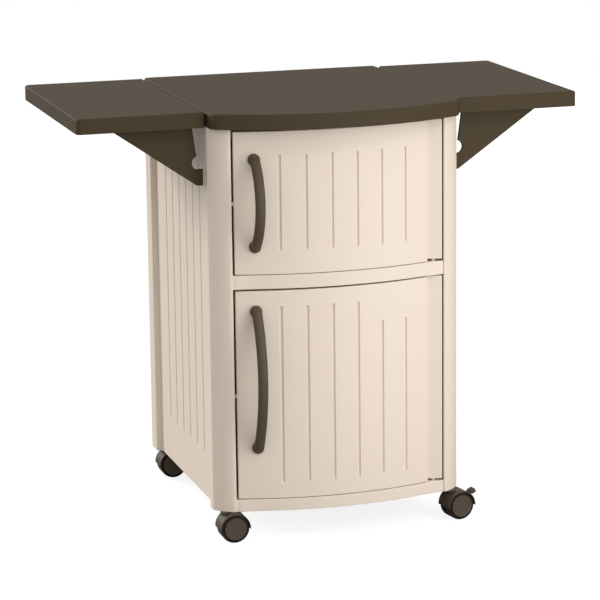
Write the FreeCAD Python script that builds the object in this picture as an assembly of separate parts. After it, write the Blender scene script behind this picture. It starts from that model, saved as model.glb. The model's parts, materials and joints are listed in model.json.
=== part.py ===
import FreeCAD, Part
import math
import os

from FreeCAD import Vector

# A resin patio cabinet on four twin-wheel casters, with two doors that bow forward,
# a worktop and a drop leaf at each end that two folding brackets hold up.
# All sizes are millimetres. X runs to the right, Y to the back and Z up from the floor.
# The origin is on the floor, under the middle of the whole object.

# Worktop
counter_height = 914.0
top_thickness = 32.0
top_half_width = 271.5
top_depth = 650.0
top_bow_radius = 540.0
top_front_corner_radius = 32.0
top_back_corner_radius = 12.0
top_wall = 3.5
top_plate = 4.0
top_edge_radius = 5.0
top_rib_depth = 12.0
rib_thickness = 3.0
top_rib_spacing = 90.0

# Drop leaves
leaf_length = 267.5
leaf_depth = 532.0
leaf_set_back = 103.0
leaf_gap = 5.0
leaf_outer_corner_radius = 10.0
leaf_inner_corner_radius = 3.0
leaf_rib_depth = 5.0
leaf_rib_spacing = 66.0

# Leaf hinges: two stations on each leaf, each with three knuckles on one pin
leaf_axis_drop = 2.0
leaf_station_offset = 66.0
leaf_knuckle_radius = 6.0
leaf_knuckle_length = 18.0
leaf_pin_radius = 2.5
knuckle_gap = 1.0
knuckle_notch_gap = 0.8

# Cabinet
cabinet_half_width = 273.0
cabinet_wall = 4.0
post_width = 41.0
front_post_depth = 70.0
front_post_strip = 27.5
front_post_flat = 3.0
front_post_bulge = 6.0
front_post_nose = 6.0
door_pocket_depth = 9.0
front_post_set_back = 63.0
rear_post_depth = 51.5
rear_post_inset = 4.0
side_recess = 13.0
post_edge_radius = 5.0
post_nose_radius = 2.5
recess_corner_radius = 4.0
rear_post_corner_radius = 8.0
back_panel_inset = 11.0
back_panel_thickness = 4.0

# Vertical grooves moulded in the sides, the back and the doors
groove_width = 6.0
groove_depth = 1.6
groove_count = 6
side_groove_spacing = 58.0
side_groove_end = 98.0
side_groove_top = 45.0
back_groove_spacing = 64.0
door_groove_spacing = 54.7
door_groove_shift = 3.5
upper_groove_margin = 50.0
lower_groove_margin = 34.0
short_groove_drop = 45.0
short_groove_count = 2

# Rails and doors
bottom_rail_height = 25.8
mid_rail_height = 29.5
lower_door_height = 449.0
door_gap = 2.0
door_side_gap = 2.5
door_top_gap = 4.0
rail_bow_radius = 667.0
rail_set_back = 40.0
shelf_plate = 4.0
rail_wall = 3.5
shelf_rib_depth = 14.0
shelf_rib_count = 5
door_wall = 3.5
door_back_set = 59.0
door_strip_width = 40.5
door_strip_reach = 3.5
door_strip_thickness = 4.0
door_edge_radius = 2.5
liner_thickness = 3.0
liner_gap = 0.2
top_rail_height = 24.0
top_rail_depth = 16.0
top_rail_wall = 3.0
header_clearance = 14.0

# Door hinges: upright pins in front of the recessed strip at the right of each door
hinge_strip_inset = 23.5
hinge_forward = 12.0
hinge_pin_radius = 3.0
hinge_knuckle_radius = 6.0
hinge_knuckle_height = 6.0
hinge_boss_radius = 8.0
hinge_pin_grip = 11.0
running_gap = 0.05

# Door catches
catch_height = 20.0
catch_depth = 10.0
catch_gap = 0.6
upper_catch_height = 723.5
lower_catch_height = 315.0

# Handles
handle_inset = 45.5
handle_width = 17.0
handle_thickness = 14.0
handle_edge_radius = 5.0
handle_reach = 43.0
handle_pad_radius = 13.0
handle_pad_height = 7.0
handle_pad_edge = 2.5
upper_handle_below_top = 49.0
upper_handle_above_bottom = 45.5
lower_handle_below_top = 32.0
lower_handle_above_bottom = 98.0
handle_screw_radius = 2.0
handle_screw_head_radius = 4.5
handle_screw_head_height = 2.5
handle_screw_bite = 6.0

# Folding brackets under the leaves
bracket_thickness = 8.0
bracket_inset = 34.5
bracket_axis_rise = 10.0
bracket_start = 25.5
bracket_length = 164.0
bracket_barrel_radius = 5.0
bracket_wall_gap = 0.5
bracket_foot_depth = 125.0
bracket_foot_height = 34.0
bracket_foot_length = 23.5
bracket_lean = 10.0
bracket_bite_top = 64.0
bracket_bite_depth = 10.0
bracket_tip_height = 2.0
bracket_ear_length = 7.0
bracket_ear_radius = 7.0
bracket_end_gap = 1.0
bracket_pin_radius = 2.5
bracket_pin_depth = 8.0
bracket_sweep_gap = 3.5

# Casters: twin wheels under a hood, on a stem that turns in a socket in the post
wheel_radius = 31.0
wheel_width = 16.0
wheel_edge_radius = 3.0
hub_radius = 23.5
hub_recess = 1.0
hood_gap = 0.6
hood_wall = 1.4
hood_web = 13.0
hood_web_gap = 1.0
hood_skirt = 1.5
hood_hub_radius = 22.0
axle_radius = 3.0
caster_trail = 16.0
stem_radius = 4.5
stem_reach = 34.0
stem_root = 20.0
collar_radius = 11.0
collar_gap = 0.2
caster_gap = 1.2
front_caster_from_post_front = 22.0
rear_caster_from_post_back = 38.0
caster_from_side = 21.0
right_front_swivel = 10.0

# Brake levers on the two casters at the right
lever_angle = 42.0
lever_pivot_radius = 24.0
lever_arm_half_width = 2.4
lever_arm_thickness = 5.0
lever_slot_gap = 0.4
lever_swing = 16.0
lever_trunnion_radius = 2.0
lever_pedal_start = 12.5
lever_pedal_length = 11.0
lever_pedal_width = 17.0
lever_pedal_thickness = 7.0
lever_pedal_edge = 1.5

# Screws
screw_shank_radius = 2.0
screw_head_radius = 3.5
screw_head_height = 2.2
back_screw_rows = 4
back_screw_margin = 60.0
back_screw_bite = 8.0
rail_screw_count = 3
rail_screw_bite = 10.0
rail_screw_boss_radius = 5.0

# Places worked out from the sizes above
axle_height = wheel_radius
hood_inner_radius = wheel_radius + hood_gap
hood_radius = hood_inner_radius + hood_wall
cabinet_bottom = axle_height + hood_radius + caster_gap
cabinet_top = counter_height - top_thickness
top_front = -top_depth / 2
top_back = top_depth / 2
top_underside = counter_height - top_plate
top_bow_centre = top_front + top_bow_radius

seam_x = top_half_width + leaf_gap / 2
leaf_inner = top_half_width + leaf_gap
leaf_outer = leaf_inner + leaf_length
leaf_front = top_front + leaf_set_back
leaf_back = leaf_front + leaf_depth
leaf_middle = (leaf_front + leaf_back) / 2
leaf_axis_height = cabinet_top - leaf_axis_drop
knuckle_step = leaf_knuckle_length + knuckle_gap
station_half_length = 1.5 * leaf_knuckle_length + knuckle_gap

post_inner = cabinet_half_width - post_width
panel_outer = cabinet_half_width - side_recess
panel_inner = panel_outer - cabinet_wall
pocket_x = post_inner + door_pocket_depth
post_front = top_front + front_post_set_back
post_nose_back = post_front + front_post_nose
front_post_back = post_front + front_post_depth
cabinet_back = top_back - rear_post_inset
rear_post_front = cabinet_back - rear_post_depth
back_panel_back = cabinet_back - back_panel_inset
back_panel_front = back_panel_back - back_panel_thickness
panel_middle = (front_post_back + rear_post_front) / 2

bottom_rail_top = cabinet_bottom + bottom_rail_height
lower_door_bottom = bottom_rail_top + door_gap
lower_door_top = lower_door_bottom + lower_door_height
mid_rail_bottom = lower_door_top + door_gap
mid_rail_top = mid_rail_bottom + mid_rail_height
upper_door_bottom = mid_rail_top + door_gap
upper_door_top = cabinet_top - door_top_gap
rail_bow_front = top_front + rail_set_back
rail_bow_centre = rail_bow_front + rail_bow_radius

door_left = -(post_inner - door_side_gap)
strip_right = post_inner + door_strip_reach
bow_end = strip_right - door_strip_width
door_back = rail_bow_front + door_back_set
strip_front = door_back - door_strip_thickness
hinge_x = strip_right - hinge_strip_inset
hinge_y = strip_front - hinge_forward

handle_x = door_left + handle_inset
upper_handle_top = upper_door_top - upper_handle_below_top
upper_handle_length = upper_handle_top - upper_door_bottom - upper_handle_above_bottom
lower_handle_top = lower_door_top - lower_handle_below_top
lower_handle_length = lower_handle_top - lower_door_bottom - lower_handle_above_bottom

bracket_axis_height = cabinet_top + bracket_axis_rise
bracket_inner = top_half_width + bracket_start
bracket_outer = bracket_inner + bracket_length
front_bracket_y = leaf_front + bracket_inset
rear_bracket_y = leaf_back - bracket_inset

caster_x = cabinet_half_width - caster_from_side
front_caster_y = post_front + front_caster_from_post_front
rear_caster_y = cabinet_back - rear_caster_from_post_back
stem_top = cabinet_bottom + stem_reach

OVERLAP = 1.0
EDGE_MATCH = 0.01


def box(x_low, x_high, y_low, y_high, z_low, z_high):
    corner = Vector(x_low, y_low, z_low)
    return Part.makeBox(x_high - x_low, y_high - y_low, z_high - z_low, corner)


def rod(radius, start, end):
    start = Vector(*start)
    run = Vector(*end) - start
    return Part.makeCylinder(radius, run.Length, start, run)


def line(start, end):
    return Part.makeLine(Vector(*start), Vector(*end))


def arc(start, middle, end):
    return Part.Arc(Vector(*start), Vector(*middle), Vector(*end)).toShape()


def outline(edges):
    return Part.Face(Part.Wire(Part.__sortEdges__(edges)))


def plan_face(points):
    corners = [Vector(x, y, 0) for x, y in points]
    return Part.Face(Part.makePolygon(corners + corners[:1]))


def raised(face, z_low, z_high):
    solid = face.extrude(Vector(0, 0, z_high - z_low))
    solid.translate(Vector(0, 0, z_low))
    return solid


def mirrored(shape):
    return shape.mirror(Vector(0, 0, 0), Vector(1, 0, 0))


def on_side(shape, side):
    return shape if side == "right" else mirrored(shape)


def joined(shapes):
    return shapes[0].multiFuse(shapes[1:]).removeSplitter()


def group(shapes):
    return Part.makeCompound(shapes)


def edges_at_height(shape, height):
    return [edge for edge in shape.Edges
            if abs(edge.BoundBox.ZMin - height) < EDGE_MATCH
            and abs(edge.BoundBox.ZMax - height) < EDGE_MATCH]


def upright_edges(shape, x, y):
    found = []
    for edge in shape.Edges:
        bounds = edge.BoundBox
        is_upright = bounds.XLength < EDGE_MATCH and bounds.YLength < EDGE_MATCH
        if is_upright and abs(bounds.XMin - x) < EDGE_MATCH and abs(bounds.YMin - y) < EDGE_MATCH:
            found.append(edge)
    return found


def circle_y(x, radius, centre_y):
    return centre_y - math.sqrt(radius * radius - x * x)


def bow_y(x, inset=0.0):
    return circle_y(x, rail_bow_radius - inset, rail_bow_centre)


def bow_arc(x_low, x_high, inset=0.0):
    middle = (x_low + x_high) / 2
    return arc((x_low, bow_y(x_low, inset), 0),
               (middle, bow_y(middle, inset), 0),
               (x_high, bow_y(x_high, inset), 0))


# Worktop

def top_face(inset):
    """Outline of the worktop seen from above, moved inwards by inset."""
    half_width = top_half_width - inset
    bow_radius = top_bow_radius - inset
    corner = top_front_corner_radius - inset
    back_corner = top_back_corner_radius - inset
    back = top_back - inset
    centre_x = half_width - corner
    reach = bow_radius - corner
    centre_y = top_bow_centre - math.sqrt(reach * reach - centre_x * centre_x)
    scale = bow_radius / reach
    join_x = centre_x * scale
    join_y = top_bow_centre + (centre_y - top_bow_centre) * scale
    turn = math.atan2(join_y - centre_y, join_x - centre_x) / 2
    bend = (centre_x + corner * math.cos(turn), centre_y + corner * math.sin(turn))
    diagonal = back_corner * (1 - math.sqrt(0.5))
    edges = [arc((-join_x, join_y, 0), (0, top_bow_centre - bow_radius, 0), (join_x, join_y, 0))]
    edges.append(line((-half_width + back_corner, back, 0), (half_width - back_corner, back, 0)))
    for sign in (-1, 1):
        edges.append(arc((sign * join_x, join_y, 0), (sign * bend[0], bend[1], 0),
                         (sign * half_width, centre_y, 0)))
        edges.append(line((sign * half_width, centre_y, 0),
                          (sign * half_width, back - back_corner, 0)))
        edges.append(arc((sign * half_width, back - back_corner, 0),
                         (sign * (half_width - diagonal), back - diagonal, 0),
                         (sign * (half_width - back_corner), back, 0)))
    return outline(edges)


def rib_positions(low, high, spacing):
    count = max(1, int((high - low) / spacing))
    step = (high - low) / (count + 1)
    return [low + step * (index + 1) for index in range(count)]


def rib_grid(room, depth, spacing):
    """Crossed ribs under a top plate, trimmed to the room inside its skirt."""
    bounds = room.BoundBox
    low = top_underside - depth
    ribs = []
    for x in rib_positions(bounds.XMin, bounds.XMax, spacing):
        ribs.append(box(x - rib_thickness / 2, x + rib_thickness / 2,
                        bounds.YMin, bounds.YMax, low, top_underside))
    for y in rib_positions(bounds.YMin, bounds.YMax, spacing):
        ribs.append(box(bounds.XMin, bounds.XMax,
                        y - rib_thickness / 2, y + rib_thickness / 2, low, top_underside))
    return joined(ribs).common(room)


def leaf_stations():
    return [leaf_middle - leaf_station_offset, leaf_middle + leaf_station_offset]


def knuckle(station, slot, radius, extra):
    """One third of a leaf hinge station, as a rod along the hinge axis."""
    middle = station + slot * knuckle_step
    half = leaf_knuckle_length / 2 + extra
    return rod(radius, (seam_x, middle - half, leaf_axis_height),
               (seam_x, middle + half, leaf_axis_height))


def leaf_pin_hole():
    return [rod(leaf_pin_radius + running_gap,
                (seam_x, station - station_half_length - OVERLAP, leaf_axis_height),
                (seam_x, station + station_half_length + OVERLAP, leaf_axis_height))
            for station in leaf_stations()]


def make_countertop():
    outer = raised(top_face(0.0), cabinet_top, counter_height)
    outer = outer.makeFillet(top_edge_radius, edges_at_height(outer, counter_height))
    room = raised(top_face(top_wall), cabinet_top, top_underside)
    shell = outer.cut(room)
    parts = [shell, rib_grid(room, top_rib_depth, top_rib_spacing)]
    boss_low = upper_door_top + door_top_gap + OVERLAP
    parts.append(rod(hinge_boss_radius, (hinge_x, hinge_y, boss_low),
                     (hinge_x, hinge_y, top_underside)))
    for x, y in rail_screw_places():
        parts.append(rod(rail_screw_boss_radius, (x, y, cabinet_top), (x, y, top_underside)))
    notches = []
    notch_radius = leaf_knuckle_radius + knuckle_notch_gap
    for side in ("left", "right"):
        for station in leaf_stations():
            parts.append(on_side(knuckle(station, 0, leaf_knuckle_radius, 0.0), side))
            for slot in (-1, 1):
                notch = knuckle(station, slot, notch_radius, knuckle_gap / 2)
                notches.append(on_side(notch, side))
        for hole in leaf_pin_hole():
            notches.append(on_side(hole, side))
    body = joined(parts)
    notches.append(rod(hinge_pin_radius, (hinge_x, hinge_y, cabinet_top),
                       (hinge_x, hinge_y, upper_pin_top())))
    for x, y in rail_screw_places():
        notches.append(rod(screw_shank_radius, (x, y, cabinet_top),
                           (x, y, cabinet_top + rail_screw_bite)))
    return body.cut(group(notches))


# Drop leaves

def leaf_face(inset):
    """Outline of the right leaf seen from above, moved inwards by inset."""
    outer = leaf_outer - inset
    inner = leaf_inner + inset
    front = leaf_front + inset
    back = leaf_back - inset
    return plan_face([(inner, front), (outer, front), (outer, back), (inner, back)])


def make_leaf(side):
    outer = raised(leaf_face(0.0), cabinet_top, counter_height)
    for y in (leaf_front, leaf_back):
        outer = outer.makeFillet(leaf_outer_corner_radius, upright_edges(outer, leaf_outer, y))
        outer = outer.makeFillet(leaf_inner_corner_radius, upright_edges(outer, leaf_inner, y))
    outer = outer.makeFillet(top_edge_radius * 0.9, edges_at_height(outer, counter_height))
    room = raised(leaf_face(top_wall), cabinet_top, top_underside)
    parts = [outer.cut(room), rib_grid(room, leaf_rib_depth, leaf_rib_spacing)]
    for y in (front_bracket_y, rear_bracket_y):
        for ear_low in (bracket_inner - bracket_end_gap - bracket_ear_length,
                        bracket_outer + bracket_end_gap):
            ear_high = ear_low + bracket_ear_length
            parts.append(box(ear_low, ear_high, y - bracket_ear_radius, y + bracket_ear_radius,
                             bracket_axis_height, top_underside))
            parts.append(rod(bracket_ear_radius, (ear_low, y, bracket_axis_height),
                             (ear_high, y, bracket_axis_height)))
    for station in leaf_stations():
        for slot in (-1, 1):
            parts.append(knuckle(station, slot, leaf_knuckle_radius, 0.0))
    body = joined(parts)
    holes = leaf_pin_hole()
    for station in leaf_stations():
        notch_radius = leaf_knuckle_radius + knuckle_notch_gap
        holes.append(knuckle(station, 0, notch_radius, knuckle_gap / 2))
    for y in (front_bracket_y, rear_bracket_y):
        holes.append(rod(bracket_pin_radius,
                         (bracket_inner - 2 * bracket_ear_length, y, bracket_axis_height),
                         (bracket_outer + 2 * bracket_ear_length, y, bracket_axis_height)))
    holes.extend(foot_notches())
    return on_side(body.cut(group(holes)), side)


def foot_notches():
    """Cut-outs in the leaf's inner skirt for the feet of the folded brackets."""
    reach_low = bracket_foot_depth - bracket_foot_height + bracket_axis_rise - bracket_sweep_gap
    reach_high = bracket_foot_depth + bracket_axis_rise + bracket_sweep_gap
    notch_top = bracket_axis_height + bracket_thickness / 2 + bracket_sweep_gap
    spans = [(front_bracket_y + reach_low, front_bracket_y + reach_high),
             (rear_bracket_y - reach_high, rear_bracket_y - reach_low)]
    return [box(leaf_inner - OVERLAP, leaf_inner + top_wall + OVERLAP, low, high,
                cabinet_top - OVERLAP, notch_top) for low, high in spans]


def make_leaf_pins(side):
    pins = [rod(leaf_pin_radius, (seam_x, station - station_half_length, leaf_axis_height),
                (seam_x, station + station_half_length, leaf_axis_height))
            for station in leaf_stations()]
    return on_side(group(pins), side)


# Folding brackets

def bracket_face():
    """Side view of the right bracket: a gusset with a foot that bears on the post."""
    foot_x = cabinet_half_width + bracket_wall_gap
    heel_x = foot_x + bracket_foot_length
    foot_low = cabinet_top - bracket_foot_depth
    foot_high = foot_low + bracket_foot_height
    bite_top = cabinet_top - bracket_bite_top
    low_x = bracket_inner - bracket_lean
    tip_z = cabinet_top - bracket_tip_height
    top = bracket_axis_height

    def p(x, z):
        return (x, 0, z)

    return outline([
        line(p(bracket_inner, top), p(bracket_inner, cabinet_top)),
        line(p(bracket_inner, cabinet_top), p(low_x, bite_top)),
        arc(p(low_x, bite_top), p(low_x + bracket_bite_depth, (bite_top + foot_high) / 2),
            p(low_x, foot_high)),
        line(p(low_x, foot_high), p(foot_x, foot_high)),
        line(p(foot_x, foot_high), p(foot_x, foot_low)),
        line(p(foot_x, foot_low), p(heel_x, foot_low)),
        line(p(heel_x, foot_low), p(bracket_outer, tip_z)),
        line(p(bracket_outer, tip_z), p(bracket_outer, top)),
        line(p(bracket_outer, top), p(bracket_inner, top)),
    ])


def make_bracket(side, y):
    plate = bracket_face().extrude(Vector(0, bracket_thickness, 0))
    plate.translate(Vector(0, y - bracket_thickness / 2, 0))
    barrel = rod(bracket_barrel_radius, (bracket_inner, y, bracket_axis_height),
                 (bracket_outer, y, bracket_axis_height))
    body = joined([plate, barrel])
    hole_radius = bracket_pin_radius + running_gap
    holes = [rod(hole_radius, (bracket_inner - OVERLAP, y, bracket_axis_height),
                 (bracket_inner + bracket_pin_depth, y, bracket_axis_height)),
             rod(hole_radius, (bracket_outer - bracket_pin_depth, y, bracket_axis_height),
                 (bracket_outer + OVERLAP, y, bracket_axis_height))]
    return on_side(body.cut(group(holes)), side)


def make_bracket_pins(side):
    pins = []
    reach = bracket_end_gap + bracket_ear_length
    grip = bracket_pin_depth - bracket_end_gap
    for y in (front_bracket_y, rear_bracket_y):
        pins.append(rod(bracket_pin_radius, (bracket_inner - reach, y, bracket_axis_height),
                        (bracket_inner + grip, y, bracket_axis_height)))
        pins.append(rod(bracket_pin_radius, (bracket_outer - grip, y, bracket_axis_height),
                        (bracket_outer + reach, y, bracket_axis_height)))
    return on_side(group(pins), side)


# Cabinet sides, with a hollow corner post at each end

def front_post_face(inset):
    """Plan of the front post: its outer front corner is cut off by a shallow bow."""
    inner = post_inner + inset
    outer = cabinet_half_width - inset
    front = post_front + inset
    back = front_post_back - inset
    flat_end = inner + front_post_flat
    strip_end = front_post_back - front_post_strip
    run = Vector(outer - flat_end, strip_end - front, 0)
    out = Vector(run.y, -run.x, 0).normalize() * front_post_bulge
    middle = Vector((outer + flat_end) / 2, (strip_end + front) / 2, 0) + out
    return outline([
        line((inner, front, 0), (flat_end, front, 0)),
        arc((flat_end, front, 0), tuple(middle), (outer, strip_end, 0)),
        line((outer, strip_end, 0), (outer, back, 0)),
        line((outer, back, 0), (inner, back, 0)),
        line((inner, back, 0), (inner, front, 0)),
    ])


def front_post(inset, z_low, z_high):
    """The front post, stepped back behind its nose to leave room for the hinge strip."""
    pocket = box(post_inner - OVERLAP, pocket_x + inset, post_nose_back - inset,
                 front_post_back + OVERLAP, z_low - OVERLAP, z_high + OVERLAP)
    return raised(front_post_face(inset), z_low, z_high).cut(pocket)


def bracket_rest():
    """Block behind the front post that the front bracket's foot bears on."""
    low = cabinet_top - bracket_foot_depth
    return box(panel_inner, cabinet_half_width, front_post_back - post_edge_radius - OVERLAP,
               front_bracket_y + bracket_thickness / 2, low, low + bracket_foot_height)


def rear_post_face(inset):
    return plan_face([(post_inner + inset, rear_post_front + inset),
                      (cabinet_half_width - inset, rear_post_front + inset),
                      (cabinet_half_width - inset, cabinet_back - inset),
                      (post_inner + inset, cabinet_back - inset)])


def groove_offsets(spacing):
    return [(index - (groove_count - 1) / 2) * spacing for index in range(groove_count)]


def side_grooves():
    low = cabinet_bottom + side_groove_end
    high = cabinet_top - side_groove_top
    return [box(panel_outer - groove_depth, panel_outer + OVERLAP,
                panel_middle + offset - groove_width / 2,
                panel_middle + offset + groove_width / 2, low, high)
            for offset in groove_offsets(side_groove_spacing)]


def make_side_panel(side):
    posts = [front_post(0.0, cabinet_bottom, cabinet_top),
             raised(rear_post_face(0.0), cabinet_bottom, cabinet_top)]
    plate = box(panel_inner, panel_outer, front_post_back - OVERLAP, rear_post_front + OVERLAP,
                cabinet_bottom, cabinet_top)
    body = joined(posts + [plate])
    rounded = [(cabinet_half_width, front_post_back, post_edge_radius),
               (cabinet_half_width, rear_post_front, post_edge_radius),
               (cabinet_half_width, cabinet_back, rear_post_corner_radius),
               (panel_outer, front_post_back, recess_corner_radius),
               (panel_outer, rear_post_front, recess_corner_radius),
               (post_inner, post_front, post_nose_radius)]
    for x, y, radius in rounded:
        body = body.makeFillet(radius, upright_edges(body, x, y))
    body = joined([body, bracket_rest()])
    hollow_top = cabinet_top - cabinet_wall
    hollows = [front_post(cabinet_wall, cabinet_bottom, hollow_top),
               raised(rear_post_face(cabinet_wall), cabinet_bottom, hollow_top)]
    hollows.extend(side_grooves())
    hollows.extend(back_screw_shanks())
    return on_side(body.cut(group(hollows)), side)


def make_caster_sockets():
    """Plugs in the feet of the posts, each bored for a caster stem."""
    sockets = []
    socket_top = stem_top + cabinet_wall
    front_plug = front_post(cabinet_wall, cabinet_bottom, socket_top)
    rear_plug = raised(rear_post_face(cabinet_wall), cabinet_bottom, socket_top)
    for plug, y in ((front_plug, front_caster_y), (rear_plug, rear_caster_y)):
        bore = rod(stem_radius + running_gap, (caster_x, y, cabinet_bottom - OVERLAP),
                   (caster_x, y, stem_top + running_gap))
        for side in ("left", "right"):
            sockets.append(on_side(plug.cut(bore), side))
    return group(sockets)


# Back panel and its screws

def back_screw_places():
    span = cabinet_top - cabinet_bottom - 2 * back_screw_margin
    step = span / (back_screw_rows - 1)
    y = back_panel_front - back_screw_bite / 2
    return [(y, cabinet_bottom + back_screw_margin + step * row) for row in range(back_screw_rows)]


def back_screw_shanks():
    """Holes through the right rear post's inner wall for the back panel's side screws."""
    return [rod(screw_shank_radius, (post_inner - back_screw_bite, y, z),
                (post_inner + cabinet_wall + OVERLAP, y, z)) for y, z in back_screw_places()]


def make_back_panel():
    plate = box(-post_inner, post_inner, back_panel_front, back_panel_back,
                cabinet_bottom, cabinet_top)
    low = cabinet_bottom + side_groove_end
    high = cabinet_top - side_groove_top
    lips = [box(sign * post_inner - (back_screw_bite if sign > 0 else 0),
                sign * post_inner + (back_screw_bite if sign < 0 else 0),
                back_panel_front - back_screw_bite, back_panel_back,
                cabinet_bottom + shelf_clear(), cabinet_top - shelf_clear())
            for sign in (-1, 1)]
    body = joined([plate] + lips)
    cuts = [box(offset - groove_width / 2, offset + groove_width / 2,
                back_panel_back - groove_depth, back_panel_back + OVERLAP, low, high)
            for offset in groove_offsets(back_groove_spacing)]
    cuts.append(box(-post_inner, post_inner, back_panel_front - 2 * back_screw_bite,
                    back_panel_front, mid_rail_bottom - door_gap, mid_rail_top + door_gap))
    for side in ("left", "right"):
        cuts.extend(on_side(hole, side) for hole in back_screw_shanks())
    return body.cut(group(cuts))


def shelf_clear():
    return bottom_rail_height + door_gap


def make_back_screws():
    screws = []
    for y, z in back_screw_places():
        shank = rod(screw_shank_radius, (post_inner - back_screw_bite, y, z),
                    (post_inner + cabinet_wall, y, z))
        head = rod(screw_head_radius, (post_inner - back_screw_bite - screw_head_height, y, z),
                   (post_inner - back_screw_bite, y, z))
        screw = joined([shank, head])
        screws.extend(on_side(screw, side) for side in ("left", "right"))
    return group(screws)


# Floor, dividing shelf and the two hidden rails under the worktop

def shelf_face():
    """Plan of the floor and the shelf: a bowed front, wider between the posts."""
    half = pocket_x
    wide = panel_inner
    points = [(half, bow_y(half)), (half, front_post_back), (wide, front_post_back),
              (wide, rear_post_front), (post_inner, rear_post_front),
              (post_inner, back_panel_front)]
    right = [(x, y, 0) for x, y in points]
    left = [(-x, y, 0) for x, y in points]
    edges = [bow_arc(-half, half), line(right[-1], left[-1])]
    for chain in (right, left):
        edges.extend(line(start, end) for start, end in zip(chain, chain[1:]))
    return outline(edges)


def rail_face():
    """Plan of a bowed front rail, whose ends pass behind the posts' noses."""
    half = pocket_x
    outer = bow_y(half)
    inner = bow_y(half, rail_wall)
    return outline([bow_arc(-half, half), bow_arc(-half, half, rail_wall),
                    line((-half, outer, 0), (-half, inner, 0)),
                    line((half, outer, 0), (half, inner, 0))])


def make_shelf(z_low, z_high):
    plate_low = z_high - shelf_plate
    parts = [raised(shelf_face(), plate_low, z_high), raised(rail_face(), z_low, z_high)]
    parts.append(rod(hinge_boss_radius, (hinge_x, hinge_y, z_low), (hinge_x, hinge_y, z_high)))
    rib_low = plate_low - shelf_rib_depth
    step = 2 * post_inner / (shelf_rib_count + 1)
    for index in range(shelf_rib_count):
        x = -post_inner + step * (index + 1)
        parts.append(box(x - rib_thickness / 2, x + rib_thickness / 2,
                         bow_y(x) + rail_wall / 2, back_panel_front, rib_low, plate_low))
    return joined(parts).cut(rod(hinge_pin_radius, (hinge_x, hinge_y, z_low - OVERLAP),
                                 (hinge_x, hinge_y, z_high + OVERLAP)))


def make_floor_panel():
    return make_shelf(cabinet_bottom, bottom_rail_top)


def make_divider_shelf():
    return make_shelf(mid_rail_bottom, mid_rail_top)


def top_rail_spans():
    """Half width and depth of the header rail, just behind the doors, and of the rear rail."""
    header_front = door_back + header_clearance
    return [(pocket_x, header_front, header_front + top_rail_depth),
            (post_inner, back_panel_front - top_rail_depth, back_panel_front)]


def rail_screw_places():
    """Where the screws go up through both top rails into the worktop."""
    step = 2 * post_inner / (rail_screw_count + 1)
    return [(-post_inner + step * (index + 1), (low + high) / 2)
            for half, low, high in top_rail_spans() for index in range(rail_screw_count)]


def make_top_rail(span):
    half, y_low, y_high = span
    low = cabinet_top - top_rail_height
    outer = box(-half, half, y_low, y_high, low, cabinet_top)
    room = box(-half, half, y_low + top_rail_wall, y_high - top_rail_wall,
               low, cabinet_top - top_rail_wall)
    holes = [rod(screw_shank_radius, (x, y, cabinet_top - top_rail_wall - OVERLAP),
                 (x, y, cabinet_top + OVERLAP)) for x, y in rail_screw_places()]
    return outer.cut(group([room] + holes))


def make_rail_screws():
    """Screws up through the two rails, with their heads inside the channel."""
    screws = []
    head_high = cabinet_top - top_rail_wall
    for x, y in rail_screw_places():
        shank = rod(screw_shank_radius, (x, y, head_high), (x, y, cabinet_top + rail_screw_bite))
        head = rod(screw_head_radius, (x, y, head_high - screw_head_height), (x, y, head_high))
        screws.append(joined([shank, head]))
    return group(screws)


# Doors

def door_face():
    """Plan of a door: a bowed box with a recessed hinge strip at its right."""
    return outline([
        bow_arc(door_left, bow_end),
        line((bow_end, bow_y(bow_end), 0), (bow_end, strip_front, 0)),
        line((bow_end, strip_front, 0), (strip_right, strip_front, 0)),
        line((strip_right, strip_front, 0), (strip_right, door_back, 0)),
        line((strip_right, door_back, 0), (door_left, door_back, 0)),
        line((door_left, door_back, 0), (door_left, bow_y(door_left), 0)),
    ])


def door_room_face():
    left = door_left + door_wall
    right = bow_end - door_wall
    back = door_back + OVERLAP
    return outline([
        bow_arc(left, right, door_wall),
        line((right, bow_y(right, door_wall), 0), (right, back, 0)),
        line((right, back, 0), (left, back, 0)),
        line((left, back, 0), (left, bow_y(left, door_wall), 0)),
    ])


def door_grooves(z_low, z_high, short_drop):
    grooves = []
    for index, offset in enumerate(groove_offsets(door_groove_spacing)):
        x = offset + door_groove_shift
        is_short = index >= groove_count - short_groove_count
        high = z_high - (short_drop if is_short else 0)
        face_y = max(bow_y(x - groove_width / 2), bow_y(x + groove_width / 2))
        grooves.append(box(x - groove_width / 2, x + groove_width / 2,
                           face_y - groove_width, face_y + groove_depth, z_low, high))
    return grooves


def hinge_ears(z_low, z_high):
    """Knuckles at both ends of the strip, each on a short web."""
    ears = []
    for low in (z_low, z_high - hinge_knuckle_height):
        high = low + hinge_knuckle_height
        ears.append(rod(hinge_knuckle_radius, (hinge_x, hinge_y, low), (hinge_x, hinge_y, high)))
        ears.append(box(hinge_x - hinge_knuckle_radius, hinge_x + hinge_knuckle_radius,
                        hinge_y, strip_front + OVERLAP, low, high))
    return ears


def make_door_skin(z_low, z_high, groove_margin, short_drop, handle_places):
    body = raised(door_face(), z_low, z_high)
    for x in (door_left, bow_end):
        body = body.makeFillet(door_edge_radius, upright_edges(body, x, bow_y(x)))
    body = joined([body] + hinge_ears(z_low, z_high))
    cuts = [raised(door_room_face(), z_low + door_wall, z_high - door_wall)]
    cuts.extend(door_grooves(z_low + groove_margin, z_high - groove_margin, short_drop))
    cuts.append(rod(hinge_pin_radius + running_gap, (hinge_x, hinge_y, z_low - OVERLAP),
                    (hinge_x, hinge_y, z_high + OVERLAP)))
    for z in handle_places:
        cuts.append(rod(handle_screw_radius, (handle_x, door_back, z),
                        (handle_x, bow_y(handle_x) - OVERLAP, z)))
    return body.cut(group(cuts))


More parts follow.
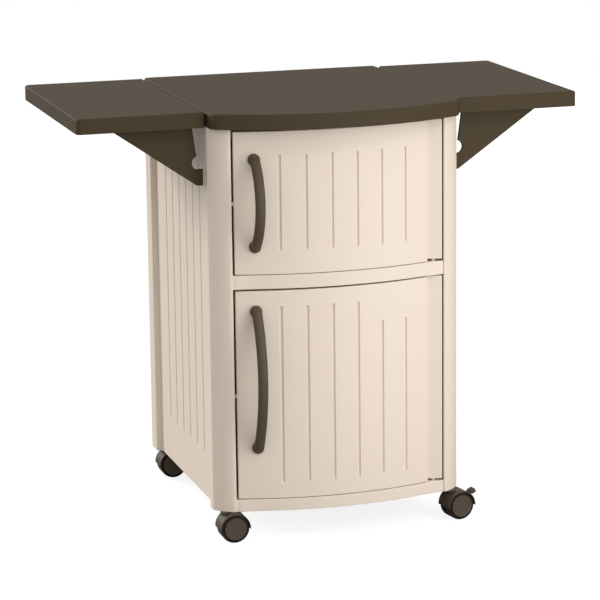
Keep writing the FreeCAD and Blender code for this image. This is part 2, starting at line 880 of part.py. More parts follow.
def make_door_liner(z_low, z_high):
    """Flat inner panel that closes the back of the door."""
    inset = door_wall + liner_gap
    return box(door_left + inset, bow_end - inset, door_back - liner_thickness, door_back,
               z_low + inset, z_high - inset)


def handle_ends(top, length):
    return [top - handle_pad_radius, top - length + handle_pad_radius]


def make_handle(top, length):
    """A bow handle: an arched bar between two round pads that follow the door."""
    high, low = handle_ends(top, length)
    middle = (high + low) / 2
    surface = bow_y(handle_x)
    root = surface - handle_pad_height
    crest = surface - handle_reach - handle_pad_height
    half = handle_thickness / 2

    def bar_arc(shift, extra):
        return arc((handle_x, root + shift, high + extra), (handle_x, crest + shift, middle),
                   (handle_x, root + shift, low - extra))

    outer = bar_arc(-half, half)
    inner = bar_arc(half, -half)
    ends = [line((handle_x, root - half, high + half), (handle_x, root + half, high - half)),
            line((handle_x, root - half, low - half), (handle_x, root + half, low + half))]
    bar = outline([outer, inner] + ends).extrude(Vector(handle_width, 0, 0))
    bar.translate(Vector(-handle_width / 2, 0, 0))
    side_edges = [edge for edge in bar.Edges
                  if edge.BoundBox.XLength < EDGE_MATCH and edge.Length > length / 2]
    bar = bar.makeFillet(handle_edge_radius, side_edges)
    parts = [bar]
    for z in (high, low):
        pad = rod(handle_pad_radius, (handle_x, surface + handle_pad_radius, z),
                  (handle_x, root - handle_pad_edge, z))
        rim = [edge for edge in pad.Edges if abs(edge.BoundBox.YMax - root + handle_pad_edge) < EDGE_MATCH]
        parts.append(pad.makeFillet(handle_pad_edge, rim))
    body = joined(parts)
    door_bulk = raised(Part.Face(Part.Wire(Part.makeCircle(
        rail_bow_radius, Vector(0, rail_bow_centre, 0)))), low - length, high + length)
    cuts = [door_bulk]
    for z in (high, low):
        cuts.append(rod(handle_screw_radius, (handle_x, surface + OVERLAP, z),
                        (handle_x, surface - handle_screw_bite, z)))
    return body.cut(group(cuts))


def make_handle_screws(top, length):
    """Screws from inside the door skin into the handle's pads."""
    skin_back = bow_y(handle_x, door_wall)
    surface = bow_y(handle_x)
    slope = abs(bow_y(handle_x + handle_screw_head_radius, door_wall) - skin_back)
    head_front = skin_back + 2 * slope
    screws = []
    for z in handle_ends(top, length):
        shank = rod(handle_screw_radius, (handle_x, head_front, z),
                    (handle_x, surface - handle_screw_bite, z))
        head = rod(handle_screw_head_radius,
                   (handle_x, head_front + handle_screw_head_height, z),
                   (handle_x, head_front, z))
        screws.append(joined([shank, head]))
    return group(screws)


def upper_pin_top():
    return cabinet_top + hinge_pin_grip


def make_hinge_pins():
    """Three upright pins, fixed in the floor, the shelf and the worktop."""
    spans = [(bottom_rail_top - hinge_pin_grip, lower_door_bottom + hinge_knuckle_height),
             (lower_door_top - hinge_knuckle_height, upper_door_bottom + hinge_knuckle_height),
             (upper_door_top - hinge_knuckle_height, upper_pin_top())]
    return group([rod(hinge_pin_radius, (hinge_x, hinge_y, low), (hinge_x, hinge_y, high))
                  for low, high in spans])


def make_door_catches():
    """Small tongues on the left front post that the doors close against."""
    front = bow_y(door_left)
    return group([box(-pocket_x, door_left - catch_gap, front, front + catch_depth,
                      middle - catch_height / 2, middle + catch_height / 2)
                  for middle in (upper_catch_height, lower_catch_height)])


# Casters, built with the stem on the Z axis and the axle along Y, then put in place

def half_wheel_span():
    inner = hood_web / 2 + hood_web_gap
    return inner, inner + wheel_width


def make_wheel(side_sign):
    """One of the two wheels: rounded tread, with a shallow round hub recess outside."""
    inner, outer = half_wheel_span()
    wheel = rod(wheel_radius, (caster_trail, side_sign * inner, axle_height),
                (caster_trail, side_sign * outer, axle_height))
    rims = [edge for edge in wheel.Edges if edge.BoundBox.YLength < EDGE_MATCH]
    wheel = wheel.makeFillet(wheel_edge_radius, rims)
    cuts = [rod(hub_radius, (caster_trail, side_sign * (outer - hub_recess), axle_height),
                (caster_trail, side_sign * (outer + OVERLAP), axle_height)),
            rod(axle_radius + running_gap,
                (caster_trail, side_sign * (inner - OVERLAP), axle_height),
                (caster_trail, side_sign * (outer - hub_recess - hood_wall), axle_height))]
    return wheel.cut(group(cuts))


def make_axle():
    reach = half_wheel_span()[1] - hub_recess - hood_wall - running_gap
    return rod(axle_radius, (caster_trail, -reach, axle_height), (caster_trail, reach, axle_height))


def upper_half(shape):
    bounds = shape.BoundBox
    return shape.common(box(bounds.XMin - OVERLAP, bounds.XMax + OVERLAP,
                            bounds.YMin - OVERLAP, bounds.YMax + OVERLAP,
                            axle_height - hood_skirt, bounds.ZMax + OVERLAP))


def lever_pivot():
    """The pivot of the brake lever, in the caster's own plane."""
    angle = math.radians(lever_angle)
    return (caster_trail + lever_pivot_radius * math.cos(angle),
            axle_height + lever_pivot_radius * math.sin(angle))


def lever_rod(radius, half_length):
    x, z = lever_pivot()
    return rod(radius, (x, -half_length, z), (x, half_length, z))


def lever_bar(start, end, thickness, width, angle=lever_angle):
    """A bar that points away from the pivot, from start to end as distances from it."""
    x, z = lever_pivot()
    bar = box(start, end, -width / 2, width / 2, -thickness / 2, thickness / 2)
    bar.rotate(Vector(0, 0, 0), Vector(0, 1, 0), -angle)
    bar.translate(Vector(x, 0, z))
    return bar


def make_brake_lever():
    arm = lever_bar(0.0, lever_pedal_start + OVERLAP, lever_arm_thickness,
                    2 * lever_arm_half_width)
    eye = lever_rod(lever_arm_thickness / 2, lever_arm_half_width)
    trunnion = lever_rod(lever_trunnion_radius, hood_web / 2 - hood_wall)
    pedal = lever_bar(lever_pedal_start, lever_pedal_start + lever_pedal_length,
                      lever_pedal_thickness, lever_pedal_width)
    pedal = pedal.makeFillet(lever_pedal_edge, pedal.Edges)
    return joined([arm, eye, trunnion, pedal])


def lever_slot():
    """Room in the hood's web for the lever to turn down, and bores for its trunnions."""
    half = lever_arm_half_width + lever_slot_gap
    thickness = lever_arm_thickness + 2 * lever_slot_gap
    x, z = lever_pivot()
    corners = [Vector(x, -half, z)]
    cuts = []
    for angle in (lever_angle, lever_angle - lever_swing):
        cuts.append(lever_bar(0.0, hood_radius, thickness, 2 * half, angle))
        corners.append(Vector(x + hood_radius * math.cos(math.radians(angle)), -half,
                              z + hood_radius * math.sin(math.radians(angle))))
    cuts.append(Part.Face(Part.makePolygon(corners + corners[:1])).extrude(Vector(0, 2 * half, 0)))
    cuts.append(lever_rod(thickness / 2, half))
    cuts.append(lever_rod(lever_trunnion_radius + running_gap,
                          hood_web / 2 - hood_wall + running_gap))
    return cuts


def make_hood(has_brake):
    """Hood over the upper half of both wheels, with a web between them for axle and stem."""
    inner, outer = half_wheel_span()
    shell = upper_half(rod(hood_radius, (caster_trail, -outer, axle_height),
                           (caster_trail, outer, axle_height)))
    web = rod(hood_hub_radius, (caster_trail, -hood_web / 2, axle_height),
              (caster_trail, hood_web / 2, axle_height))
    body = joined([shell, web])
    cuts = [rod(hood_inner_radius, (caster_trail, sign * hood_web / 2, axle_height),
                (caster_trail, sign * (outer + OVERLAP), axle_height)) for sign in (-1, 1)]
    cuts.append(rod(axle_radius, (caster_trail, -hood_web, axle_height),
                    (caster_trail, hood_web, axle_height)))
    cuts.append(rod(stem_radius, (0, 0, stem_low()), (0, 0, cabinet_bottom)))
    if has_brake:
        cuts.extend(lever_slot())
    return body.cut(group(cuts))


def stem_low():
    return axle_height + stem_root


def make_stem():
    """Stem with a collar that fills the gap between hood and post."""
    stem = rod(stem_radius, (0, 0, stem_low()), (0, 0, stem_top))
    collar_low = axle_height + hood_radius + collar_gap
    collar = rod(collar_radius, (0, 0, collar_low), (0, 0, cabinet_bottom - collar_gap))
    return joined([stem, collar])


def caster_places():
    """Name, position, swivel angle and whether it has a brake, for each caster."""
    return [("front_left", (-caster_x, front_caster_y), 0.0, False),
            ("front_right", (caster_x, front_caster_y), right_front_swivel, True),
            ("rear_left", (-caster_x, rear_caster_y), 0.0, False),
            ("rear_right", (caster_x, rear_caster_y), 0.0, True)]


def placed(shape, place, swivel):
    moved = shape.copy()
    moved.rotate(Vector(0, 0, 0), Vector(0, 0, 1), swivel)
    moved.translate(Vector(place[0], place[1], 0))
    return moved


def make_casters():
    nodes = {}
    for name, place, swivel, has_brake in caster_places():
        pieces = {"hood": make_hood(has_brake), "stem": make_stem(), "axle": make_axle(),
                  "front_wheel": make_wheel(-1), "back_wheel": make_wheel(1)}
        if has_brake:
            pieces["brake_lever"] = make_brake_lever()
        for piece, shape in pieces.items():
            nodes[name + "_caster_" + piece] = placed(shape, place, swivel)
    return nodes


def make_doors():
    nodes = {}
    doors = [("upper", upper_door_bottom, upper_door_top, upper_groove_margin, 0.0,
              upper_handle_top, upper_handle_length),
             ("lower", lower_door_bottom, lower_door_top, lower_groove_margin, short_groove_drop,
              lower_handle_top, lower_handle_length)]
    for name, low, high, margin, drop, handle_top, handle_length in doors:
        ends = handle_ends(handle_top, handle_length)
        nodes[name + "_door_skin"] = make_door_skin(low, high, margin, drop, ends)
        nodes[name + "_door_liner"] = make_door_liner(low, high)
        nodes[name + "_handle"] = make_handle(handle_top, handle_length)
        nodes[name + "_handle_screws"] = make_handle_screws(handle_top, handle_length)
    return nodes


def make_all():
    header_span, rear_span = top_rail_spans()
    nodes = {
        "countertop": make_countertop(),
        "back_panel": make_back_panel(),
        "back_panel_screws": make_back_screws(),
        "floor_panel": make_floor_panel(),
        "divider_shelf": make_divider_shelf(),
        "header_rail": make_top_rail(header_span),
        "rear_top_rail": make_top_rail(rear_span),
        "top_rail_screws": make_rail_screws(),
        "caster_sockets": make_caster_sockets(),
        "door_hinge_pins": make_hinge_pins(),
        "door_catches": make_door_catches(),
    }
    for side in ("left", "right"):
        nodes[side + "_side_panel"] = make_side_panel(side)
        nodes[side + "_leaf"] = make_leaf(side)
        nodes[side + "_leaf_hinge_pins"] = make_leaf_pins(side)
        nodes[side + "_bracket_pins"] = make_bracket_pins(side)
        nodes[side + "_front_bracket"] = make_bracket(side, front_bracket_y)
        nodes[side + "_rear_bracket"] = make_bracket(side, rear_bracket_y)
    nodes.update(make_doors())
    nodes.update(make_casters())
    return nodes


os.makedirs("parts", exist_ok=True)
for node, shape in make_all().items():
    shape.exportStep("parts/" + node + ".step")
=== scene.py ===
import json
import math

import bmesh
import bpy
from mathutils import Matrix, Vector


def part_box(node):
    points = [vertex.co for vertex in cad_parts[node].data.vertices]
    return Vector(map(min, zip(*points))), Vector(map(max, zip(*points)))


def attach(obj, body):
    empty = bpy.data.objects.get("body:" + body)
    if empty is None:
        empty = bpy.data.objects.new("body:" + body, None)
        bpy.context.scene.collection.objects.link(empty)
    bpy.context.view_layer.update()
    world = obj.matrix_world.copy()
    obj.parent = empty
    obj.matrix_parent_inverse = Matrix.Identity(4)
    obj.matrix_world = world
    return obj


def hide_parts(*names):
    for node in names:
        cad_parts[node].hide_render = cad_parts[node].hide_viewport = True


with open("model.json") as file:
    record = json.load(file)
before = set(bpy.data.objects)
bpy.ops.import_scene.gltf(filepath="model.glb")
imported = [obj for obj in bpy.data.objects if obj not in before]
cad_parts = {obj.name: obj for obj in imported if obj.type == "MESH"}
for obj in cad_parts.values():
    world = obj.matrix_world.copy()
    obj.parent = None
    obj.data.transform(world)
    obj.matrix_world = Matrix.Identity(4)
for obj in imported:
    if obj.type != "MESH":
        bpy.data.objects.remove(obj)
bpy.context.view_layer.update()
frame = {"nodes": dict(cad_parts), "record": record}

# A resin patio cabinet with drop leaves, dressed over its CAD solids. Metres throughout.

nodes = frame["nodes"]
record = frame["record"]
BODY = {node: body for body, names in record["behaviour"]["bodies"].items() for node in names}
SLOT = {part["node"]: part["material_slot"] for part in record["subparts"]}

# Camera, fitted to the corners and edges of the object
CAMERA_PLACE = (-1.71912, -5.67059, 1.77496)
CAMERA_YAW = 16.7728
CAMERA_PITCH = 12.5756
CAMERA_ROLL = -0.6936
CAMERA_LENS = 166.69
CAMERA_SENSOR = 36.0

# Rounding and smoothing
ARC_STEPS = 6
EDGE_STEPS = 4
ROUND_MIDDLE = 0.3  # where the middle of a quarter round lies, as a share of its radius
MITRE_LIMIT = 0.4
MERGE_DISTANCE = 0.000002
HEIGHT_DIGITS = 6
SHARP_ANGLE = 32.0
CAD_SHARP_ANGLE = 30.0

# Bowed front
BOW_RADIUS = 0.667
BOW_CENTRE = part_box("floor_panel")[0][1] + BOW_RADIUS
BOW_STEP = 0.008
LEAST_STEP_SHARE = 0.45
PANEL_EDGE = 0.0012
THIN_EDGE = 0.0008
SMALL_EDGE = 0.0003

# Moulded grooves
GROOVE_WIDTH = 0.0080
GROOVE_DEPTH = 0.0038
GROOVE_STEEPNESS = 2.2
GROOVE_TAPER = 0.0025
GROOVE_PROFILE_STEPS = 12
GROOVE_COUNT = 6

# Doors
DOOR_WALL_EDGE = 0.0024
DOOR_ROUND = 0.0018
LATCH_GAP = 0.0050
DOOR_FOOT_DROP = 0.0009
UPPER_DOOR_DROP = 0.0010
UPPER_DOOR_SAG = 0.0028
LOWER_DOOR_SAG = 0.0022
DOOR_FLANGE = 0.0042
DOOR_WALL_INSET = 0.0045
BOW_END_INSET = 0.0405
STRIP_DEPTH = 0.017
STRIP_LEAN = 0.0095
STRIP_GAP = 0.0028
STRIP_FILLET = 0.002
STRIP_FOOT_GAP = 0.0032
DOOR_GROOVE_SPACING = 0.0547
DOOR_GROOVE_SHIFT = 0.0035
UPPER_GROOVE_MARGIN = 0.050
LOWER_GROOVE_MARGIN = 0.034
SHORT_GROOVE_DROP = 0.045
SHORT_GROOVE_COUNT = 2
KNUCKLE_RADIUS = 0.0034
KNUCKLE_HEIGHT = 0.004
KNUCKLE_ROUND_SHARE = 0.70
HINGE_INSET = 0.0235
HINGE_AXIS_FORWARD = 0.016
LINER_PROUD = 0.0004
LINER_ROUND = 0.003
LINER_FIELD_INSET = 0.028
LINER_FIELD_DEPTH = 0.0018
LINER_SLOPE = 0.006
LINER_SLOPE_CURVE = ((0.0, 0.0), (0.3, 0.15), (0.7, 0.85), (1.0, 1.0))  # shares across and down
LINER_CORNER = 0.012
CATCH_HEIGHT = 0.020
TONGUE_HEIGHT = 0.0065
TONGUE_REACH = 0.0082

# Side panels
SIDE_GROOVE_SPACING = 0.058
SIDE_GROOVE_LOW = 0.098
SIDE_GROOVE_HIGH = 0.045
POST_INNER = 0.232
LEFT_POST_INNER = 0.2300
POST_SET_BACK = 0.008
POST_FLAT = 0.004
POST_BULGE = 0.0035
POST_ARC_STEPS = 14
POST_STRIP_END = -0.2195
POST_BACK = -0.192
POST_NOSE_BACK = -0.248
POCKET_X = 0.241
REAR_POST_FRONT = 0.2695
RECESS = 0.013
PANEL_WALL = 0.006
NOSE_ROUND = 0.0036
POST_ROUND = 0.005
REAR_ROUND = 0.008
RECESS_ROUND = 0.007
INNER_ROUND = 0.0013

# Back panel
BACK_GROOVE_SPACING = 0.064
BACK_WALL = 0.004
BACK_LIP = 0.008

# Floor and shelf
SHELF_PLATE = 0.004
RAIL_WALL = 0.0035
RAIL_ROUND = 0.0014
RAIL_LIP = 0.0004
RAIL_FLARE = 0.009
RAIL_FLARE_START = 0.170
RAIL_VISIBLE_HALF_WIDTH = 0.2285
RAIL_TUCK = 0.001
RIB_THICKNESS = 0.003
RIB_DEPTH = 0.014
RIB_COUNT = 5
BOSS_RADIUS = 0.008

# Handles
HANDLE_WIDTH = 0.0212
HANDLE_THICKNESS = 0.0170
HANDLE_SQUARENESS = 2.6
HANDLE_PAD = 0.0130
HANDLE_PAD_HEIGHT = 0.0075
HANDLE_PAD_SINK = 0.0015
# From a pad's rim to its middle: the share of its radius, and how far behind the bar's root
HANDLE_PAD_CROWN = ((1.0, 0.0035), (0.96, 0.0015), (0.88, 0.0), (0.72, -0.0012), (0.0, -0.0020))
HANDLE_PAD_STEPS = 48
HANDLE_REACH = 0.0385
HANDLE_STATIONS = 40
HANDLE_SECTION_STEPS = 20
HANDLE_VOXEL = 0.0012
HANDLE_SMOOTHING = 6
HANDLE_SMOOTHING_FACTOR = 0.5

# Brackets
BRACKET_AXIS = 0.892
BRACKET_LEAN = 0.010
BRACKET_START = 0.297
BRACKET_BITE_TOP = 0.818
BRACKET_BITE_DEPTH = 0.010
BRACKET_FOOT_HEIGHT = 0.034
BRACKET_HEEL = 0.287
BRACKET_TIP = 0.8795
BRACKET_TIP_LIP = 0.0045
BRACKET_TIP_REACH = 0.003
BRACKET_THICKNESS = 0.008
BRACKET_BARREL = 0.005
BRACKET_EDGE = 0.0012
BRACKET_CORNER = 0.002
BRACKET_TIP_CORNER = 0.001
BITE_STEPS = 12
REAR_FOOT_RISE = 0.010

# Casters
CASTERS = ("front_left", "front_right", "rear_left", "rear_right")
WHEEL_RADIUS = 0.031
WHEEL_INNER = 0.0075
WHEEL_OUTER = 0.0235
WHEEL_LIP = 0.0030
WHEEL_LIP_RADIUS = 0.0283
WHEEL_ROUND = 0.0022
TYRE_SET_BACK = 0.0042
HUB_RADIUS = 0.0238
HUB_ROUND = 0.0010
HUB_RIM_SHARE = 0.88
HUB_FIELD_SHARE = 0.80
HUB_DISH = 0.0008
HOOD_RADIUS = 0.033
HOOD_INNER_RADIUS = 0.0316
HOOD_WEB_RADIUS = 0.022
HOOD_WEB = 0.0065
HOOD_THIN_WEB = 0.0022
HOOD_THIN_WEB_RADIUS = 0.0278
HOOD_EDGE = 0.0006
HOOD_SKIRT_ANGLE = 2.6
HOOD_LEAST_STEPS = 4
CASTER_TRAIL = 0.016
FRONT_RIGHT_SWIVEL = 10.0
SLOT_HALF_WIDTH = 0.0029
SLOT_LOW_ANGLE = 30.0
SLOT_HIGH_ANGLE = 50.0
LEVER_ANGLE = 42.0
LEVER_PIVOT_RADIUS = 0.024
LEVER_ARM_HALF_WIDTH = 0.0024
LEVER_ARM_END = 0.015
LEVER_ARM_HALF_HEIGHT = 0.0024
LEVER_ARM_ROUND = 0.00216
LEVER_EDGE = 0.0004
# Corners in side view, out from the lever's pivot and above it
PEDAL_OUTLINE = ((0.0130, -0.0090), (0.0235, -0.0125), (0.0265, -0.0040), (0.0145, 0.0002))
PEDAL_HALF_WIDTH = 0.0085
PEDAL_EDGE = 0.0012
PEDAL_CORNER = 0.0014
TURN_STEPS = 72
ROD_STEPS = 36
STEM_RADIUS = 0.0045
STEM_TIP_RADIUS = 0.0016
COLLAR_RADIUS = 0.011
COLLAR_HEIGHT = 0.0010
COLLAR_GAP = 0.0003
SOCKET_INSET = 0.004
SOCKET_LIP = 0.0002

# Finishes
MOTTLE_DETAIL = 6.0
MOTTLE_ROUGHNESS = 0.65
GLOSS_SPREAD = 0.05
GRAIN_SCALE = 900.0
GRAIN_DETAIL = 3.0
GRAIN_DEPTH = 0.0003
STEEL_STRETCH = (1500.0, 1500.0, 60.0)
STEEL_DETAIL = 4.0
STEEL_DARK = (0.42, 0.42, 0.43)
STEEL_LIGHT = (0.60, 0.60, 0.61)
STEEL_GLOSS = (0.30, 0.48)

# Lamps: near ones by place, aim, width, height and power, and far ones by azimuth, elevation,
# strength and softness. Azimuth 0 shines from the front and 90 from the right.
SOFTBOXES = {
    "front_lamp": ((0.50, -1.25, 0.55), (0.10, -0.28, 0.50), 0.40, 1.30, 3.6),
    "front_right_lamp": ((0.90, -1.30, 0.60), (0.05, -0.28, 0.50), 0.50, 1.20, 3.5),
}
SUNS = {
    "front_fill": (0.0, 12.0, 0.55, 60.0),
    "high_right_lamp": (38.0, 45.0, 0.35, 12.0),
    "back_left_lamp": (-138.0, 23.0, 2.2, 24.0),
}

# Stage
WHITE = (1.0, 1.0, 1.0, 1.0)
AMBIENT_LIGHT = 0.60
BACKDROP_LIGHT = 1.0
FLOOR_SIZE = 12.0
FLOOR_COLOUR = (0.30, 0.30, 0.30, 1.0)
FLOOR_GLOW = 0.84


def node_box(node):
    """The two corners of a CAD node's box."""
    low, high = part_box(node)
    return Vector(low), Vector(high)


# Materials

def material(name):
    """A new node material, its tree and its Principled node."""
    made = bpy.data.materials.new(name)
    made.use_nodes = True
    tree = made.node_tree
    return made, tree, tree.nodes["Principled BSDF"]


def noise(tree, place, scale, detail):
    """A noise texture read at a vector output."""
    texture = tree.nodes.new("ShaderNodeTexNoise")
    texture.inputs["Scale"].default_value = scale
    texture.inputs["Detail"].default_value = detail
    tree.links.new(place, texture.inputs["Vector"])
    return texture


def vary_colour(tree, shader, texture, dark, light):
    """The base colour runs from dark to light with the texture."""
    colours = tree.nodes.new("ShaderNodeMix")
    colours.data_type = "RGBA"
    # The mix keeps its colours at inputs 6 and 7 and gives the mixed one at output 2.
    colours.inputs[6].default_value = dark + (1.0,)
    colours.inputs[7].default_value = light + (1.0,)
    tree.links.new(texture.outputs["Fac"], colours.inputs[0])
    tree.links.new(colours.outputs[2], shader.inputs["Base Color"])


def vary_gloss(tree, shader, texture, low, high):
    """The roughness runs from low to high with the texture."""
    gloss = tree.nodes.new("ShaderNodeMapRange")
    gloss.inputs["To Min"].default_value = low
    gloss.inputs["To Max"].default_value = high
    tree.links.new(texture.outputs["Fac"], gloss.inputs["Value"])
    tree.links.new(gloss.outputs["Result"], shader.inputs["Roughness"])


def resin(name, dark, light, roughness, mottle_scale, bump, shine):
    """Moulded resin: faint mottling, a little uneven gloss and a fine grained surface."""
    made, tree, shader = material(name)
    shader.inputs["Specular IOR Level"].default_value = shine
    place = tree.nodes.new("ShaderNodeTexCoord").outputs["Object"]
    mottle = noise(tree, place, mottle_scale, MOTTLE_DETAIL)
    mottle.inputs["Roughness"].default_value = MOTTLE_ROUGHNESS
    vary_colour(tree, shader, mottle, dark, light)
    vary_gloss(tree, shader, mottle, roughness - GLOSS_SPREAD, roughness + GLOSS_SPREAD)
    grain = noise(tree, place, GRAIN_SCALE, GRAIN_DETAIL)
    relief = tree.nodes.new("ShaderNodeBump")
    relief.inputs["Strength"].default_value = bump
    relief.inputs["Distance"].default_value = GRAIN_DEPTH
    tree.links.new(grain.outputs["Fac"], relief.inputs["Height"])
    tree.links.new(relief.outputs["Normal"], shader.inputs["Normal"])
    return made


def brushed_steel():
    """Steel with fine lines drawn out along Z."""
    made, tree, shader = material("brushed_steel")
    shader.inputs["Metallic"].default_value = 1.0
    place = tree.nodes.new("ShaderNodeTexCoord")
    stretch = tree.nodes.new("ShaderNodeMapping")
    stretch.inputs["Scale"].default_value = STEEL_STRETCH
    tree.links.new(place.outputs["Object"], stretch.inputs["Vector"])
    lines = noise(tree, stretch.outputs["Vector"], scale=1.0, detail=STEEL_DETAIL)
    vary_colour(tree, shader, lines, STEEL_DARK, STEEL_LIGHT)
    vary_gloss(tree, shader, lines, *STEEL_GLOSS)
    return made


BEIGE = resin("beige_resin", (0.785, 0.668, 0.553), (0.838, 0.719, 0.602),
              roughness=0.52, mottle_scale=700.0, bump=0.10, shine=0.50)
BROWN = resin("brown_resin", (0.0640, 0.0460, 0.0250), (0.0730, 0.0525, 0.0285),
              roughness=0.58, mottle_scale=700.0, bump=0.14, shine=0.10)
HANDLE = resin("handle_resin", (0.078, 0.057, 0.033), (0.090, 0.067, 0.040),
               roughness=0.50, mottle_scale=700.0, bump=0.10, shine=0.30)
CASTER = resin("caster_plastic", (0.080, 0.061, 0.042), (0.094, 0.073, 0.052),
               roughness=0.42, mottle_scale=500.0, bump=0.10, shine=0.15)
TYRE = resin("tyre_plastic", (0.016, 0.010, 0.005), (0.024, 0.016, 0.009),
             roughness=0.28, mottle_scale=500.0, bump=0.05, shine=0.25)
STEEL = brushed_steel()
MATERIALS = {"beige_resin": BEIGE, "brown_resin": BROWN, "caster_plastic": CASTER, "steel": STEEL}


# Outlines: closed loops of 2-D points, anticlockwise seen from above

def swing(start, end, share):
    """The vector start, turned part of the way towards end."""
    turn = math.atan2(start.x * end.y - start.y * end.x, start.dot(end))
    return Matrix.Rotation(turn * share, 2) @ start


def rounded(corners):
    """Loop from (x, y, radius) corners, each turned on its own radius."""
    loop = []
    for index, (x, y, radius) in enumerate(corners):
        here = Vector((x, y))
        if radius == 0:
            loop.append(here)
            continue
        before = (Vector(corners[index - 1][:2]) - here).normalized()
        after = (Vector(corners[(index + 1) % len(corners)][:2]) - here).normalized()
        half = before.angle(after) / 2
        centre = here + (before + after).normalized() * (radius / math.sin(half))
        start = here + before * (radius / math.tan(half)) - centre
        end = here + after * (radius / math.tan(half)) - centre
        for step in range(ARC_STEPS + 1):
            loop.append(centre + swing(start, end, step / ARC_STEPS))
    return loop


def inset(loop, distance):
    """The loop moved inwards."""
    moved = []
    for index, point in enumerate(loop):
        before = (point - loop[index - 1]).normalized()
        after = (loop[(index + 1) % len(loop)] - point).normalized()
        along = (before + after).normalized()
        inward = Vector((-along.y, along.x))
        lean = max(MITRE_LIMIT, inward.dot(Vector((-after.y, after.x))))
        moved.append(point + inward * (distance / lean))
    return moved


def mirrored(loop):
    """The loop on the other side of the middle, still anticlockwise."""
    return [Vector((-point.x, point.y)) for point in reversed(loop)]


def edge_levels(low, high, edge):
    """(height, inset) pairs of a rounded bottom edge, and those of a rounded top edge."""
    angles = [math.pi / 2 * step / EDGE_STEPS for step in range(EDGE_STEPS + 1)]
    bottom = [(low + edge * (1 - math.cos(angle)), edge * (1 - math.sin(angle)))
              for angle in angles]
    top = [(high - edge * (1 - math.cos(angle)), edge * (1 - math.sin(angle)))
           for angle in reversed(angles)]
    return bottom, top


def prism(loop, low, high, edge):
    """Rings of a solid that stands on a loop, with rounded rims."""
    bottom, top = edge_levels(low, high, edge)
    return [[point.to_3d() + Vector((0, 0, height)) for point in inset(loop, move)]
            for height, move in bottom + top]


def grooved_prism(loop, low, high, edge, grooves):
    """A prism with upright grooves in its sides."""
    bottom, top = edge_levels(low, high, edge)
    heights = set()
    for groove in grooves:
        for end, sign in ((groove["low"], 1), (groove["high"], -1)):
            for step in range(EDGE_STEPS + 1):
                height = end + sign * GROOVE_TAPER * step / EDGE_STEPS
                heights.add(round(height, HEIGHT_DIGITS))
    rings = []
    for height, move in bottom + [(height, 0.0) for height in sorted(heights)] + top:
        ring = []
        for point in inset(loop, move):
            moved = point.copy()
            for groove in grooves:
                depth = groove_depth(groove, point, height)
                if depth > 0:
                    moved += groove["inward"] * depth
            ring.append(moved.to_3d() + Vector((0, 0, height)))
        rings.append(ring)
    return rings


def make_groove(middle, inward, low, high):
    """An upright groove: the middle of its mouth, its direction inward, and its two ends."""
    along = Vector((-inward.y, inward.x))
    return {"middle": middle, "inward": inward, "along": along, "low": low, "high": high}


def groove_depth(groove, point, height):
    """How deep a groove is at a point of the loop and a height."""
    across = abs((point - groove["middle"]).dot(groove["along"]))
    off = abs((point - groove["middle"]).dot(groove["inward"]))
    if across >= GROOVE_WIDTH / 2 or off > GROOVE_DEPTH:
        return 0.0
    end = min(height - groove["low"], groove["high"] - height)
    if end <= 0:
        return 0.0
    rise = min(1.0, end / GROOVE_TAPER)
    shape = 0.5 + 0.5 * math.cos(math.pi * across / (GROOVE_WIDTH / 2))
    return GROOVE_DEPTH * min(1.0, GROOVE_STEEPNESS * shape) * math.sin(rise * math.pi / 2)


def groove_steps(middles):
    """Places across the grooves where the loop needs points."""
    half = GROOVE_WIDTH / 2
    return [middle - half + GROOVE_WIDTH * step / GROOVE_PROFILE_STEPS
            for middle in middles for step in range(GROOVE_PROFILE_STEPS + 1)]


def groove_middles(spacing, shift=0.0):
    """Middles of the grooves, evenly spaced about the shift."""
    return [(index - (GROOVE_COUNT - 1) / 2) * spacing + shift for index in range(GROOVE_COUNT)]


def merged_places(low, high, step, wanted):
    """Evenly spread places between low and high, with the wanted ones put in."""
    count = max(2, round((high - low) / step))
    places = [low + (high - low) * index / count for index in range(1, count)]
    places = [place for place in places
              if all(abs(place - other) > step * LEAST_STEP_SHARE for other in wanted)]
    return sorted(places + [place for place in wanted if low < place < high])


def turned(profile, steps, start=0.0, sweep=360.0):
    """Rings of a solid turned about the Y axis from (radius, y) points, one for each step."""
    rings = []
    for step in range(steps + 1):
        angle = math.radians(start + sweep * step / steps)
        rings.append([Vector((radius * math.cos(angle), y, radius * math.sin(angle)))
                      for radius, y in profile])
    return rings


def placed(rings, matrix):
    """The rings moved by a matrix."""
    return [[matrix @ point for point in ring] for ring in rings]


def rod_rings(start, end, radius):
    """Rings of a round bar between two points, with softened ends."""
    along = (end - start).normalized()
    side = along.orthogonal().normalized()
    other = along.cross(side)
    length = (end - start).length
    edge = THIN_EDGE / 2
    rings = []
    for reach, shrink in ((0.0, edge), (edge, 0.0), (length - edge, 0.0), (length, edge)):
        ring = []
        for step in range(ROD_STEPS):
            angle = 2 * math.pi * step / ROD_STEPS
            out = side * math.cos(angle) + other * math.sin(angle)
            ring.append(start + along * reach + out * (radius - shrink))
        rings.append(ring)
    return rings


def upright(rings):
    """Rings made in plan, turned so that plan Y becomes height and height becomes depth."""
    return [[Vector((point.x, point.z, point.y)) for point in ring] for ring in rings]


# Objects

def add_rings(bm, rings):
    """A closed skin over a row of rings, capped at both ends."""
    rows = [[bm.verts.new(point) for point in ring] for ring in rings]
    for lower, upper in zip(rows, rows[1:]):
        for index in range(len(lower)):
            bm.faces.new((lower[index - 1], lower[index], upper[index], upper[index - 1]))
    bm.faces.new(tuple(reversed(rows[0])))
    bm.faces.new(tuple(rows[-1]))


